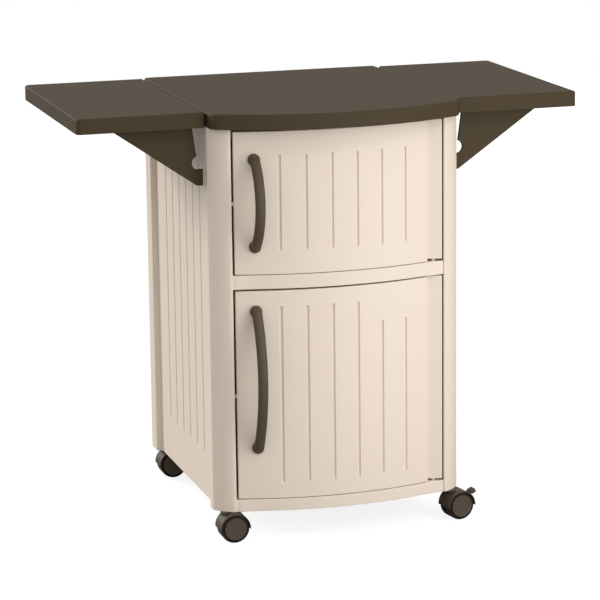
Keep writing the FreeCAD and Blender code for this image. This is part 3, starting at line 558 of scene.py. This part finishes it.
def make_object(name, solids, surface):
    """One smooth-shaded object of closed solids, each given as rings."""
    bm = bmesh.new()
    for rings in solids:
        add_rings(bm, rings)
    bmesh.ops.remove_doubles(bm, verts=bm.verts, dist=MERGE_DISTANCE)
    bmesh.ops.dissolve_degenerate(bm, edges=bm.edges, dist=MERGE_DISTANCE)
    bmesh.ops.recalc_face_normals(bm, faces=bm.faces)
    mesh = bpy.data.meshes.new(name)
    bm.to_mesh(mesh)
    bm.free()
    mesh.materials.append(surface)
    made = bpy.data.objects.new(name, mesh)
    bpy.context.scene.collection.objects.link(made)
    smooth(made)
    return made


def smooth(made, angle=SHARP_ANGLE):
    """Smooth shading with sharp edges above an angle."""
    made.data.shade_smooth()
    made.data.set_sharp_from_angle(angle=math.radians(angle))
    weighted = made.modifiers.new("weighted", "WEIGHTED_NORMAL")
    weighted.keep_sharp = True


def stands_for(made, node):
    """The piece rides with a CAD node's body and is shown in its place."""
    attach(made, BODY[node])
    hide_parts(node)


# Cabinet

def bow_y(x, depth=0.0):
    """Front of the bowed doors at x, or the surface that lies deeper behind it."""
    radius = BOW_RADIUS - depth
    return BOW_CENTRE - math.sqrt(radius * radius - x * x)


def sagged(rings, low, high, sag):
    """The rings of a door whose top drops towards its free edge."""
    def drop(point):
        free = (high.x - point.x) / (high.x - low.x)
        return sag * free * (point.z - low.z) / (high.z - low.z)

    return [[point - Vector((0, 0, drop(point))) for point in ring] for ring in rings]


def door_outline(left, bow_end, strip, back, wanted):
    """A door in plan: the bow, the leaning hinge strip at its right and a flange at each side."""
    strip_end, strip_front = POST_INNER - STRIP_GAP, strip - STRIP_LEAN
    corners = [(left, bow_y(left), DOOR_WALL_EDGE)]
    corners += [(x, bow_y(x), 0) for x in merged_places(left, bow_end, BOW_STEP, wanted)]
    corners += [(bow_end, bow_y(bow_end), DOOR_WALL_EDGE), (bow_end, strip, STRIP_FILLET),
                (strip_end, strip_front, DOOR_ROUND), (strip_end, strip_front + DOOR_FLANGE, 0),
                (strip_end - DOOR_WALL_INSET, strip_front + DOOR_FLANGE, 0),
                (strip_end - DOOR_WALL_INSET, back, 0)]
    wall = left + DOOR_WALL_INSET
    flange_back = bow_y(left) + DOOR_FLANGE
    corners += [(wall, back, 0), (wall, flange_back, 0), (left, flange_back, 0)]
    return rounded(corners)


def door_grooves(middles, low, high, short_drop):
    """The grooves of a door's bow, of which the last ones end lower by the short drop."""
    grooves = []
    for index, middle in enumerate(middles):
        drop = short_drop if index >= GROOVE_COUNT - SHORT_GROOVE_COUNT else 0.0
        mouth = Vector((middle, bow_y(middle)))
        inward = (Vector((0, BOW_CENTRE)) - mouth).normalized()
        grooves.append(make_groove(mouth, inward, low, high - drop))
    return grooves


def hinge_knuckles(x, y, strip, low, high):
    """Two knuckles about the hinge axis at (x, y), at a door's foot and at its top."""
    root = strip - y + THIN_EDGE
    knuckle_round = (KNUCKLE_RADIUS + root) * KNUCKLE_ROUND_SHARE
    loop = rounded([(-KNUCKLE_RADIUS, -KNUCKLE_RADIUS, knuckle_round),
                    (KNUCKLE_RADIUS, -KNUCKLE_RADIUS, knuckle_round),
                    (KNUCKLE_RADIUS, root, 0), (-KNUCKLE_RADIUS, root, 0)])
    axis = Matrix.Translation((x, y, 0))
    return [placed(prism(loop, foot, foot + KNUCKLE_HEIGHT, THIN_EDGE), axis)
            for foot in (low, high - KNUCKLE_HEIGHT)]


def make_door(name, margin, short_drop, sag, top_drop):
    """A door's skin: bowed and grooved, with a recessed hinge strip at the right."""
    node = name + "_door_skin"
    low, high = node_box(node)
    high.z -= top_drop
    low.z -= DOOR_FOOT_DROP
    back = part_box(name + "_door_liner")[1][1]
    bow_end, strip = high.x - BOW_END_INSET, back - STRIP_DEPTH
    middles = groove_middles(DOOR_GROOVE_SPACING, DOOR_GROOVE_SHIFT)
    loop = door_outline(low.x + LATCH_GAP, bow_end, strip, back, groove_steps(middles))
    grooves = door_grooves(middles, low.z + margin, high.z - margin, short_drop)
    skin = grooved_prism(loop, low.z, high.z, DOOR_ROUND, grooves)
    # The hinge strip's foot is raised.
    for ring in skin:
        for point in ring:
            if point.x > bow_end + STRIP_FILLET and point.z < low.z + STRIP_FOOT_GAP:
                point.z += STRIP_FOOT_GAP
    solids = [sagged(skin, low, high, sag)]
    solids += hinge_knuckles(high.x - HINGE_INSET, back - HINGE_AXIS_FORWARD, strip,
                             low.z, high.z)
    stands_for(make_object(name + "_door_shell", solids, BEIGE), node)


def make_liner(name):
    """Inner panel of a door, with a shallow pressed field."""
    node = name + "_door_liner"
    low, high = node_box(node)
    front, back = low.y, high.y + LINER_PROUD
    left = low.x + LATCH_GAP + DOOR_WALL_INSET

    def frame_loop(shrink, radius):
        return rounded([(left + shrink, low.z + shrink, radius),
                        (high.x - shrink, low.z + shrink, radius),
                        (high.x - shrink, high.z - shrink, radius),
                        (left + shrink, high.z - shrink, radius)])

    stages = [(0.0, LINER_ROUND, front), (0.0, LINER_ROUND, back - THIN_EDGE),
              (THIN_EDGE * ROUND_MIDDLE, LINER_ROUND, back - THIN_EDGE * ROUND_MIDDLE),
              (THIN_EDGE, LINER_ROUND, back)]
    stages += [(LINER_FIELD_INSET + LINER_SLOPE * across, LINER_CORNER,
                back - LINER_FIELD_DEPTH * down) for across, down in LINER_SLOPE_CURVE]
    rings = [[Vector((point.x, y, point.y)) for point in frame_loop(shrink, radius)]
             for shrink, radius, y in stages]
    stands_for(make_object(name + "_door_inner_panel", [rings], BEIGE), node)


def make_catches():
    """Keepers behind the left post, each with a small tongue across the door's gap."""
    low, high = node_box("door_catches")
    solids = []
    for middle in (low.z + CATCH_HEIGHT / 2, high.z - CATCH_HEIGHT / 2):
        for end, height in ((high.x, CATCH_HEIGHT), (high.x + TONGUE_REACH, TONGUE_HEIGHT)):
            solids.append(box_rings(low.x, end, low.y, high.y,
                                    middle - height / 2, middle + height / 2))
    stands_for(make_object("catch_keepers", solids, BEIGE), "door_catches")


def bowed(start, end, bulge, steps):
    """Points between two ends of an arc that bulges to the right of the way it runs."""
    chord = end - start
    out = Vector((chord.y, -chord.x)).normalized()
    half = chord.length / 2
    radius = (half * half + bulge * bulge) / (2 * bulge)
    centre = (start + end) / 2 - out * (radius - bulge)
    return [centre + swing(start - centre, end - centre, step / steps)
            for step in range(1, steps)]


def make_side(side):
    """A side panel with its two posts."""
    node = side + "_side_panel"
    low, high = node_box(node)
    front, back = low.y + POST_SET_BACK, high.y
    nose = POST_INNER if side == "right" else LEFT_POST_INNER
    outer = max(abs(low.x), abs(high.x))
    panel = outer - RECESS
    inner = panel - PANEL_WALL
    middle_y = (POST_BACK + REAR_POST_FRONT) / 2
    middles = [middle_y + offset for offset in groove_middles(SIDE_GROOVE_SPACING)]
    bow = bowed(Vector((nose + POST_FLAT, front)), Vector((outer, POST_STRIP_END)),
                POST_BULGE, POST_ARC_STEPS)
    corners = [(nose, front, NOSE_ROUND)]
    corners += [(point.x, point.y, 0) for point in bow]
    corners += [(outer, POST_STRIP_END, INNER_ROUND), (outer, POST_BACK, POST_ROUND),
                (panel, POST_BACK, RECESS_ROUND)]
    corners += [(panel, y, 0) for y in groove_steps(middles)]
    corners += [(panel, REAR_POST_FRONT, RECESS_ROUND), (outer, REAR_POST_FRONT, POST_ROUND),
                (outer, back, REAR_ROUND), (POST_INNER, back, NOSE_ROUND),
                (POST_INNER, REAR_POST_FRONT, INNER_ROUND), (inner, REAR_POST_FRONT, 0),
                (inner, POST_BACK, 0), (POCKET_X, POST_BACK, INNER_ROUND),
                (POCKET_X, POST_NOSE_BACK, INNER_ROUND), (nose, POST_NOSE_BACK, INNER_ROUND)]
    loop = rounded(corners)
    sign = 1
    if side == "left":
        loop = mirrored(loop)
        sign = -1
    grooves = [make_groove(Vector((sign * panel, middle)), Vector((-sign, 0)),
                           low.z + SIDE_GROOVE_LOW, high.z - SIDE_GROOVE_HIGH)
               for middle in middles]
    shell = grooved_prism(loop, low.z, high.z, PANEL_EDGE, grooves)
    stands_for(make_object(side + "_side_shell", [shell], BEIGE), node)


def rail_front(x, depth=0.0):
    """Front of the rails: the bow, brought forward beside the posts and kept behind their noses."""
    beyond = max(0.0, abs(x) - RAIL_FLARE_START) / (POST_INNER - RAIL_FLARE_START)
    front = bow_y(x, depth) - RAIL_FLARE * beyond ** 2
    if abs(x) > RAIL_VISIBLE_HALF_WIDTH:
        front = max(front, POST_NOSE_BACK - RAIL_TUCK)
    return front


def rail_points(depth=0.0):
    """The rails' front from the left post to the right one, as seen from above."""
    places = [-POCKET_X] + merged_places(-POCKET_X, POCKET_X, BOW_STEP, []) + [POCKET_X]
    return [Vector((x, rail_front(x, depth))) for x in places]


def rail_rings(low_z, high_z):
    """The bowed wall of a rail, as sections from its left end to its right end."""
    rings = []
    for point in rail_points():
        back = point.y + RAIL_WALL
        section = rounded([(point.y, low_z, RAIL_ROUND), (back, low_z, RAIL_ROUND),
                           (back, high_z, RAIL_ROUND), (point.y, high_z, RAIL_ROUND)])
        rings.append([Vector((point.x, place.x, place.y)) for place in section])
    return rings


def box_rings(x_low, x_high, y_low, y_high, z_low, z_high):
    """Rings of a small bar with softened rims."""
    loop = [Vector((x_low, y_low)), Vector((x_high, y_low)), Vector((x_high, y_high)),
            Vector((x_low, y_high))]
    return prism(loop, z_low, z_high, SMALL_EDGE)


def make_shelf(node, name):
    """A bowed rail with a plate, ribs and a hinge boss behind it."""
    low, high = node_box(node)
    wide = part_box("right_side_panel")[1][0] - RECESS - PANEL_WALL
    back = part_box("back_panel")[1][1] - BACK_WALL
    right = [(POCKET_X, POST_BACK), (wide, POST_BACK), (wide, REAR_POST_FRONT),
             (POST_INNER, REAR_POST_FRONT), (POST_INNER, back)]
    loop = rail_points(RAIL_WALL / 2) + [Vector(place) for place in right]
    loop += [Vector((-x, y)) for x, y in reversed(right)]
    under_plate = high.z - SHELF_PLATE
    solids = [prism(loop, under_plate, high.z - RAIL_LIP, THIN_EDGE),
              rail_rings(low.z, high.z)]
    step = 2 * POST_INNER / (RIB_COUNT + 1)
    for index in range(RIB_COUNT):
        x = -POST_INNER + step * (index + 1)
        solids.append(box_rings(x - RIB_THICKNESS / 2, x + RIB_THICKNESS / 2,
                                rail_front(x, RAIL_WALL) - THIN_EDGE, back,
                                under_plate - RIB_DEPTH, under_plate + THIN_EDGE))
    hinge_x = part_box("upper_door_skin")[1][0] - HINGE_INSET
    hinge_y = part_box("upper_door_liner")[1][1] - HINGE_AXIS_FORWARD
    solids.append(rod_rings(Vector((hinge_x, hinge_y, low.z + THIN_EDGE)),
                            Vector((hinge_x, hinge_y, high.z)), BOSS_RADIUS))
    stands_for(make_object(name, solids, BEIGE), node)


def make_back_panel():
    """The grooved back, with a lip along each side between the shelves."""
    low, high = node_box("back_panel")
    front = high.y - BACK_WALL
    middles = groove_middles(BACK_GROOVE_SPACING)
    corners = [(low.x, front, 0), (high.x, front, 0), (high.x, high.y, 0)]
    corners += [(x, high.y, 0) for x in sorted(groove_steps(middles), reverse=True)]
    corners.append((low.x, high.y, 0))
    grooves = [make_groove(Vector((middle, high.y)), Vector((0, -1)),
                           low.z + SIDE_GROOVE_LOW, high.z - SIDE_GROOVE_HIGH)
               for middle in middles]
    solids = [grooved_prism(rounded(corners), low.z, high.z, THIN_EDGE / 2, grooves)]
    shelf_low, shelf_high = node_box("divider_shelf")
    floor_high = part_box("floor_panel")[1][2]
    spans = [(floor_high, shelf_low.z), (shelf_high.z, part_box("header_rail")[0][2])]
    for lip_low, lip_high in spans:
        for x_low, x_high in ((low.x, low.x + BACK_LIP), (high.x - BACK_LIP, high.x)):
            solids.append(box_rings(x_low, x_high, low.y, front + THIN_EDGE / 2,
                                    lip_low, lip_high))
    stands_for(make_object("back_shell", solids, BEIGE), "back_panel")


# Brackets

def bracket_loop(low, high, foot_rise):
    """Side view of the right bracket, as (x, z) points."""
    foot_low = low.z + foot_rise
    foot_high = low.z + BRACKET_FOOT_HEIGHT
    lean_x = BRACKET_START - BRACKET_LEAN
    bite_start = Vector((lean_x, BRACKET_BITE_TOP))
    bite_end = Vector((lean_x, foot_high))
    corners = [(BRACKET_START, BRACKET_AXIS, 0), (bite_start.x, bite_start.y, 0)]
    corners += [(point.x, point.y, 0)
                for point in bowed(bite_start, bite_end, -BRACKET_BITE_DEPTH, BITE_STEPS)]
    corners += [(bite_end.x, bite_end.y, 0), (low.x, foot_high, 0),
                (low.x, foot_low, 0), (BRACKET_HEEL, foot_low, BRACKET_CORNER),
                (high.x + BRACKET_TIP_REACH, BRACKET_TIP, BRACKET_TIP_CORNER),
                (high.x, BRACKET_TIP + BRACKET_TIP_LIP, 0), (high.x, BRACKET_AXIS, 0)]
    return rounded(corners)


def make_bracket(side, end, foot_rise):
    """A folding gusset that hangs from a barrel under its leaf."""
    node = side + "_" + end + "_bracket"
    low, high = node_box("right_" + end + "_bracket")
    y = (low.y + high.y) / 2
    loop = bracket_loop(low, high, foot_rise)
    barrel_start = Vector((BRACKET_START, y, BRACKET_AXIS))
    barrel_end = Vector((high.x, y, BRACKET_AXIS))
    if side == "left":
        loop = mirrored(loop)
        barrel_start.x, barrel_end.x = -barrel_start.x, -barrel_end.x
    plate = upright(prism(loop, y - BRACKET_THICKNESS / 2, y + BRACKET_THICKNESS / 2,
                          BRACKET_EDGE))
    barrel = rod_rings(barrel_start, barrel_end, BRACKET_BARREL)
    stands_for(make_object(side + "_" + end + "_gusset", [plate, barrel], BROWN), node)


# Casters, made with the stem on the Z axis and the axle along Y

def caster_place(name):
    """Where a caster stands and how far it is swivelled at rest."""
    low, high = node_box(name + "_caster_stem")
    middle = (low + high) / 2
    swivel = FRONT_RIGHT_SWIVEL if name == "front_right" else 0.0
    return (Matrix.Translation((middle.x, middle.y, 0))
            @ Matrix.Rotation(math.radians(swivel), 4, "Z"))


def axle_place():
    """Where the axle is, trailing the stem."""
    return Matrix.Translation((CASTER_TRAIL, 0, WHEEL_RADIUS))


def full_turn(profile):
    """Rings of a solid of revolution about the axle, whose profile starts and ends on it."""
    rings = turned(profile, TURN_STEPS)
    return [[ring[index] for ring in rings[:-1]] for index in range(len(profile))]


def hood_section(y_low, y_high):
    """Section of the hood from one side of it to the other, as (radius, y) points."""
    points = [(HOOD_RADIUS - HOOD_EDGE, y_low), (HOOD_RADIUS, y_low + HOOD_EDGE),
              (HOOD_RADIUS, y_high - HOOD_EDGE), (HOOD_RADIUS - HOOD_EDGE, y_high),
              (HOOD_INNER_RADIUS, y_high)]
    if y_low < 0 < y_high:
        half_web = [(HOOD_INNER_RADIUS, HOOD_THIN_WEB), (HOOD_THIN_WEB_RADIUS, HOOD_THIN_WEB),
                    (HOOD_THIN_WEB_RADIUS, HOOD_WEB), (HOOD_WEB_RADIUS - HOOD_EDGE, HOOD_WEB)]
        points += half_web + [(radius, -y) for radius, y in reversed(half_web)]
    points.append((HOOD_INNER_RADIUS, y_low))
    return points


def make_hood(name, has_brake):
    """A caster's hood and hub, with a slot for the lever where it has a brake."""
    low_end, high_end = -HOOD_SKIRT_ANGLE, 180.0 + HOOD_SKIRT_ANGLE
    full = hood_section(-WHEEL_OUTER, WHEEL_OUTER)
    stretches = [(full, low_end, high_end)]
    if has_brake:
        stretches = [(full, low_end, SLOT_LOW_ANGLE), (full, SLOT_HIGH_ANGLE, high_end)]
        for half in (hood_section(-WHEEL_OUTER, -SLOT_HALF_WIDTH),
                     hood_section(SLOT_HALF_WIDTH, WHEEL_OUTER)):
            stretches.append((half, SLOT_LOW_ANGLE, SLOT_HIGH_ANGLE))
    place = caster_place(name) @ axle_place()
    solids = []
    for points, start, end in stretches:
        steps = max(HOOD_LEAST_STEPS, round(TURN_STEPS * (end - start) / 360))
        solids.append(placed(turned(points, steps, start, end - start), place))
    hub = [(0.0, -HOOD_WEB), (HOOD_WEB_RADIUS - HOOD_EDGE, -HOOD_WEB),
           (HOOD_WEB_RADIUS, -HOOD_WEB + HOOD_EDGE), (HOOD_WEB_RADIUS, HOOD_WEB - HOOD_EDGE),
           (HOOD_WEB_RADIUS - HOOD_EDGE, HOOD_WEB), (0.0, HOOD_WEB)]
    solids.append(placed(full_turn(hub), place))
    stands_for(make_object(name + "_hood_shell", solids, CASTER), name + "_caster_hood")


def make_wheel(name, end):
    """A dark tyre whose side steps back around a paler hub disc."""
    node = name + "_caster_" + end + "_wheel"
    sign = -1 if end == "front" else 1
    outer = WHEEL_OUTER
    step_back = outer - TYRE_SET_BACK
    tyre = [(0.0, WHEEL_INNER), (WHEEL_LIP_RADIUS, WHEEL_INNER), (WHEEL_LIP_RADIUS, WHEEL_LIP),
            (WHEEL_RADIUS - THIN_EDGE, WHEEL_LIP), (WHEEL_RADIUS, WHEEL_LIP + THIN_EDGE),
            (WHEEL_RADIUS, step_back - WHEEL_ROUND),
            (WHEEL_RADIUS - ROUND_MIDDLE * WHEEL_ROUND, step_back - ROUND_MIDDLE * WHEEL_ROUND),
            (WHEEL_RADIUS - WHEEL_ROUND, step_back), (HUB_RADIUS, step_back), (0.0, step_back)]
    hub = [(0.0, step_back - THIN_EDGE), (HUB_RADIUS, step_back - THIN_EDGE),
           (HUB_RADIUS, outer - HUB_ROUND),
           (HUB_RADIUS - ROUND_MIDDLE * HUB_ROUND, outer - ROUND_MIDDLE * HUB_ROUND),
           (HUB_RADIUS - HUB_ROUND, outer), (HUB_RADIUS * HUB_RIM_SHARE, outer),
           (HUB_RADIUS * HUB_FIELD_SHARE, outer - HUB_DISH), (0.0, outer - HUB_DISH)]
    place = caster_place(name) @ axle_place()
    for label, profile, surface in (("tyre", tyre, TYRE), ("hub", hub, CASTER)):
        rings = full_turn([(radius, sign * y) for radius, y in profile])
        made = make_object(name + "_" + end + "_" + label, [placed(rings, place)], surface)
        stands_for(made, node)


def make_lever(name):
    """A brake lever: an arm out of the hood's slot, with a wedge-shaped pedal."""
    angle = math.radians(LEVER_ANGLE)
    pivot = Matrix.Translation((LEVER_PIVOT_RADIUS * math.cos(angle), 0,
                                LEVER_PIVOT_RADIUS * math.sin(angle)))
    place = caster_place(name) @ axle_place() @ pivot @ Matrix.Rotation(-angle, 4, "Y")
    arm = rounded([(-LEVER_ARM_HALF_HEIGHT, -LEVER_ARM_HALF_HEIGHT, LEVER_ARM_ROUND),
                   (LEVER_ARM_END, -LEVER_ARM_HALF_HEIGHT, 0),
                   (LEVER_ARM_END, LEVER_ARM_HALF_HEIGHT, 0),
                   (-LEVER_ARM_HALF_HEIGHT, LEVER_ARM_HALF_HEIGHT, LEVER_ARM_ROUND)])
    pedal = rounded([(x, z, PEDAL_CORNER) for x, z in PEDAL_OUTLINE])
    solids = []
    for loop, half, edge in ((arm, LEVER_ARM_HALF_WIDTH, LEVER_EDGE),
                             (pedal, PEDAL_HALF_WIDTH, PEDAL_EDGE)):
        solids.append(placed(upright(prism(loop, -half, half, edge)), place))
    stands_for(make_object(name + "_brake_pedal", solids, CASTER), name + "_caster_brake_lever")


def make_casters():
    """Hoods and wheels of all four casters, and a lever on each right one."""
    for name in CASTERS:
        has_brake = name.endswith("right")
        make_hood(name, has_brake)
        make_wheel(name, "front")
        make_wheel(name, "back")
        if has_brake:
            make_lever(name)


def make_stems():
    """Each stem: a collar under the post's foot and a shank that narrows inside it."""
    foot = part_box("caster_sockets")[0][2]
    angles = [2 * math.pi * step / TURN_STEPS for step in range(TURN_STEPS)]
    for name in CASTERS:
        node = name + "_caster_stem"
        low, high = node_box(node)
        profile = [(STEM_RADIUS, low.z), (STEM_RADIUS, foot - COLLAR_HEIGHT),
                   (COLLAR_RADIUS, foot - COLLAR_HEIGHT), (COLLAR_RADIUS, foot - COLLAR_GAP),
                   (STEM_RADIUS, foot - COLLAR_GAP), (STEM_TIP_RADIUS, foot),
                   (STEM_TIP_RADIUS, high.z)]
        middle = (low + high) / 2
        rings = [[Vector((middle.x + radius * math.cos(angle),
                          middle.y + radius * math.sin(angle), z)) for angle in angles]
                 for radius, z in profile]
        stands_for(make_object(name + "_stem_shank", [rings], CASTER), node)


def make_sockets():
    """Plugs that close the feet of the four posts."""
    low, high = node_box("caster_sockets")
    outer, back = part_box("right_side_panel")[1][:2]
    front_foot = [(POCKET_X, POST_NOSE_BACK), (outer, POST_STRIP_END), (outer, POST_BACK),
                  (POCKET_X, POST_BACK)]
    rear_foot = [(POST_INNER, REAR_POST_FRONT), (outer, REAR_POST_FRONT), (outer, back),
                 (POST_INNER, back)]
    solids = []
    for outline in (front_foot, rear_foot):
        loop = inset([Vector(place) for place in outline], SOCKET_INSET)
        for plug in (loop, mirrored(loop)):
            solids.append(prism(plug, low.z - SOCKET_LIP, high.z, THIN_EDGE / 2))
    stands_for(make_object("foot_plugs", solids, BEIGE), "caster_sockets")


# Handles

def section(width, thickness):
    """Loop of a rounded bar section."""
    loop = []
    for step in range(HANDLE_SECTION_STEPS):
        angle = 2 * math.pi * step / HANDLE_SECTION_STEPS
        cosine, sine = math.cos(angle), math.sin(angle)
        reach = (abs(cosine) ** HANDLE_SQUARENESS
                 + abs(sine) ** HANDLE_SQUARENESS) ** (-1 / HANDLE_SQUARENESS)
        loop.append((width / 2 * cosine * reach, thickness / 2 * sine * reach))
    return loop


def make_handle(name):
    """A bow handle: an arched bar that runs smoothly into a round pad at each end."""
    node = name + "_handle"
    low, high = node_box(node)
    x = (low.x + high.x) / 2
    surface = bow_y(x)
    top, bottom = high.z - HANDLE_PAD, low.z + HANDLE_PAD
    middle = (top + bottom) / 2
    half = (top - bottom) / 2
    root = surface - HANDLE_PAD_HEIGHT
    rise = HANDLE_REACH - HANDLE_PAD_HEIGHT + HANDLE_THICKNESS / 2
    radius = (half * half + rise * rise) / (2 * rise)
    limit = math.asin(half / radius)
    rings = []
    for step in range(HANDLE_STATIONS + 1):
        angle = limit * (1 - 2 * step / HANDLE_STATIONS)
        out = Vector((0, -math.cos(angle), math.sin(angle)))
        centre = Vector((x, root + radius - rise, middle)) + out * radius
        rings.append([centre + Vector((1, 0, 0)) * u + out * v
                      for u, v in section(HANDLE_WIDTH, HANDLE_THICKNESS)])
    solids = [rings]
    for z in (top, bottom):
        profile = [(0.0, surface + HANDLE_PAD_SINK), (HANDLE_PAD, surface + HANDLE_PAD_SINK)]
        profile += [(HANDLE_PAD * share, root + offset) for share, offset in HANDLE_PAD_CROWN]
        solids.append(placed(turned(profile, HANDLE_PAD_STEPS), Matrix.Translation((x, 0, z))))
    made = make_object(name + "_bow_handle", solids, HANDLE)
    made.modifiers.clear()
    remesh = made.modifiers.new("remesh", "REMESH")
    remesh.mode = "VOXEL"
    remesh.voxel_size = HANDLE_VOXEL
    remesh.use_smooth_shade = True
    relax = made.modifiers.new("relax", "SMOOTH")
    relax.factor = HANDLE_SMOOTHING_FACTOR
    relax.iterations = HANDLE_SMOOTHING
    stands_for(made, node)


# Camera, lamps and stage

def make_camera():
    """The scene's camera, turned by yaw, pitch and roll."""
    yaw = math.radians(CAMERA_YAW)
    pitch = math.radians(CAMERA_PITCH)
    roll = math.radians(CAMERA_ROLL)
    forward = Vector((math.sin(yaw) * math.cos(pitch), math.cos(yaw) * math.cos(pitch),
                      -math.sin(pitch)))
    level_right = forward.cross(Vector((0, 0, 1))).normalized()
    level_up = level_right.cross(forward)
    right = math.cos(roll) * level_right + math.sin(roll) * level_up
    up = math.cos(roll) * level_up - math.sin(roll) * level_right
    data = bpy.data.cameras.new("camera")
    data.lens = CAMERA_LENS
    data.sensor_width = CAMERA_SENSOR
    camera = bpy.data.objects.new("camera", data)
    bpy.context.scene.collection.objects.link(camera)
    rotation = Matrix((right, up, -forward)).transposed().to_4x4()
    camera.matrix_world = Matrix.Translation(Vector(CAMERA_PLACE)) @ rotation
    bpy.context.scene.camera = camera


def make_sun(name, azimuth, elevation, strength, softness):
    """A soft distant lamp that shines from an azimuth and an elevation."""
    data = bpy.data.lights.new(name, "SUN")
    data.energy = strength
    data.angle = math.radians(softness)
    lamp = bpy.data.objects.new(name, data)
    bpy.context.scene.collection.objects.link(lamp)
    turn, lift = math.radians(azimuth), math.radians(elevation)
    towards = Vector((math.sin(turn) * math.cos(lift), -math.cos(turn) * math.cos(lift),
                      math.sin(lift)))
    lamp.rotation_euler = towards.to_track_quat("Z", "Y").to_euler()


def make_softbox(name, place, aim, width, height, power):
    """A near rectangular lamp that faces the aim point."""
    data = bpy.data.lights.new(name, "AREA")
    data.shape = "RECTANGLE"
    data.size = width
    data.size_y = height
    data.energy = power
    lamp = bpy.data.objects.new(name, data)
    bpy.context.scene.collection.objects.link(lamp)
    lamp.location = place
    away = Vector(place) - Vector(aim)
    lamp.rotation_euler = away.to_track_quat("Z", "Y").to_euler()


def show_to_camera(tree, unseen, seen, surface):
    """The camera sees one shader, and every other ray the other."""
    ray = tree.nodes.new("ShaderNodeLightPath")
    mix = tree.nodes.new("ShaderNodeMixShader")
    tree.links.new(ray.outputs["Is Camera Ray"], mix.inputs[0])
    tree.links.new(unseen.outputs[0], mix.inputs[1])
    tree.links.new(seen.outputs[0], mix.inputs[2])
    tree.links.new(mix.outputs[0], surface)


def make_world():
    """Even studio light in front of a white backdrop."""
    world = bpy.data.worlds.new("studio")
    bpy.context.scene.world = world
    world.use_nodes = True
    tree = world.node_tree
    ambient = tree.nodes["Background"]
    backdrop = tree.nodes.new("ShaderNodeBackground")
    for light, strength in ((ambient, AMBIENT_LIGHT), (backdrop, BACKDROP_LIGHT)):
        light.inputs["Color"].default_value = WHITE
        light.inputs["Strength"].default_value = strength
    show_to_camera(tree, ambient, backdrop, tree.nodes["World Output"].inputs["Surface"])


def make_floor():
    """White floor that shows the cabinet's faint shadow to the camera."""
    half = FLOOR_SIZE / 2
    mesh = bpy.data.meshes.new("floor")
    mesh.from_pydata([(-half, -half, 0), (half, -half, 0), (half, half, 0), (-half, half, 0)],
                     [], [(0, 1, 2, 3)])
    floor = bpy.data.objects.new("floor", mesh)
    bpy.context.scene.collection.objects.link(floor)
    made, tree, shader = material("floor")
    tree.nodes.remove(shader)
    matt = tree.nodes.new("ShaderNodeBsdfDiffuse")
    matt.inputs["Color"].default_value = FLOOR_COLOUR
    glow = tree.nodes.new("ShaderNodeEmission")
    glow.inputs["Strength"].default_value = FLOOR_GLOW
    both = tree.nodes.new("ShaderNodeAddShader")
    tree.links.new(matt.outputs[0], both.inputs[0])
    tree.links.new(glow.outputs[0], both.inputs[1])
    show_to_camera(tree, matt, both, tree.nodes["Material Output"].inputs["Surface"])
    mesh.materials.append(made)


def dress_nodes():
    """A finish for every CAD node, and smooth shading for those that stay in view."""
    for name, node in nodes.items():
        node.data.materials.clear()
        node.data.materials.append(MATERIALS[SLOT[name]])
        if not node.hide_render:
            smooth(node, CAD_SHARP_ANGLE)


make_camera()
make_world()
for lamp, settings in SOFTBOXES.items():
    make_softbox(lamp, *settings)
for lamp, settings in SUNS.items():
    make_sun(lamp, *settings)
make_floor()
bpy.context.scene.view_settings.view_transform = "Standard"

make_door("upper", UPPER_GROOVE_MARGIN, 0.0, UPPER_DOOR_SAG, UPPER_DOOR_DROP)
make_door("lower", LOWER_GROOVE_MARGIN, SHORT_GROOVE_DROP, LOWER_DOOR_SAG, 0.0)
for door in ("upper", "lower"):
    make_liner(door)
    make_handle(door)
make_catches()
for side in ("left", "right"):
    make_side(side)
    make_bracket(side, "front", 0.0)
    make_bracket(side, "rear", REAR_FOOT_RISE)
make_shelf("floor_panel", "bottom_rail_and_floor")
make_shelf("divider_shelf", "middle_rail_and_shelf")
make_back_panel()
make_casters()
make_stems()
make_sockets()
dress_nodes()
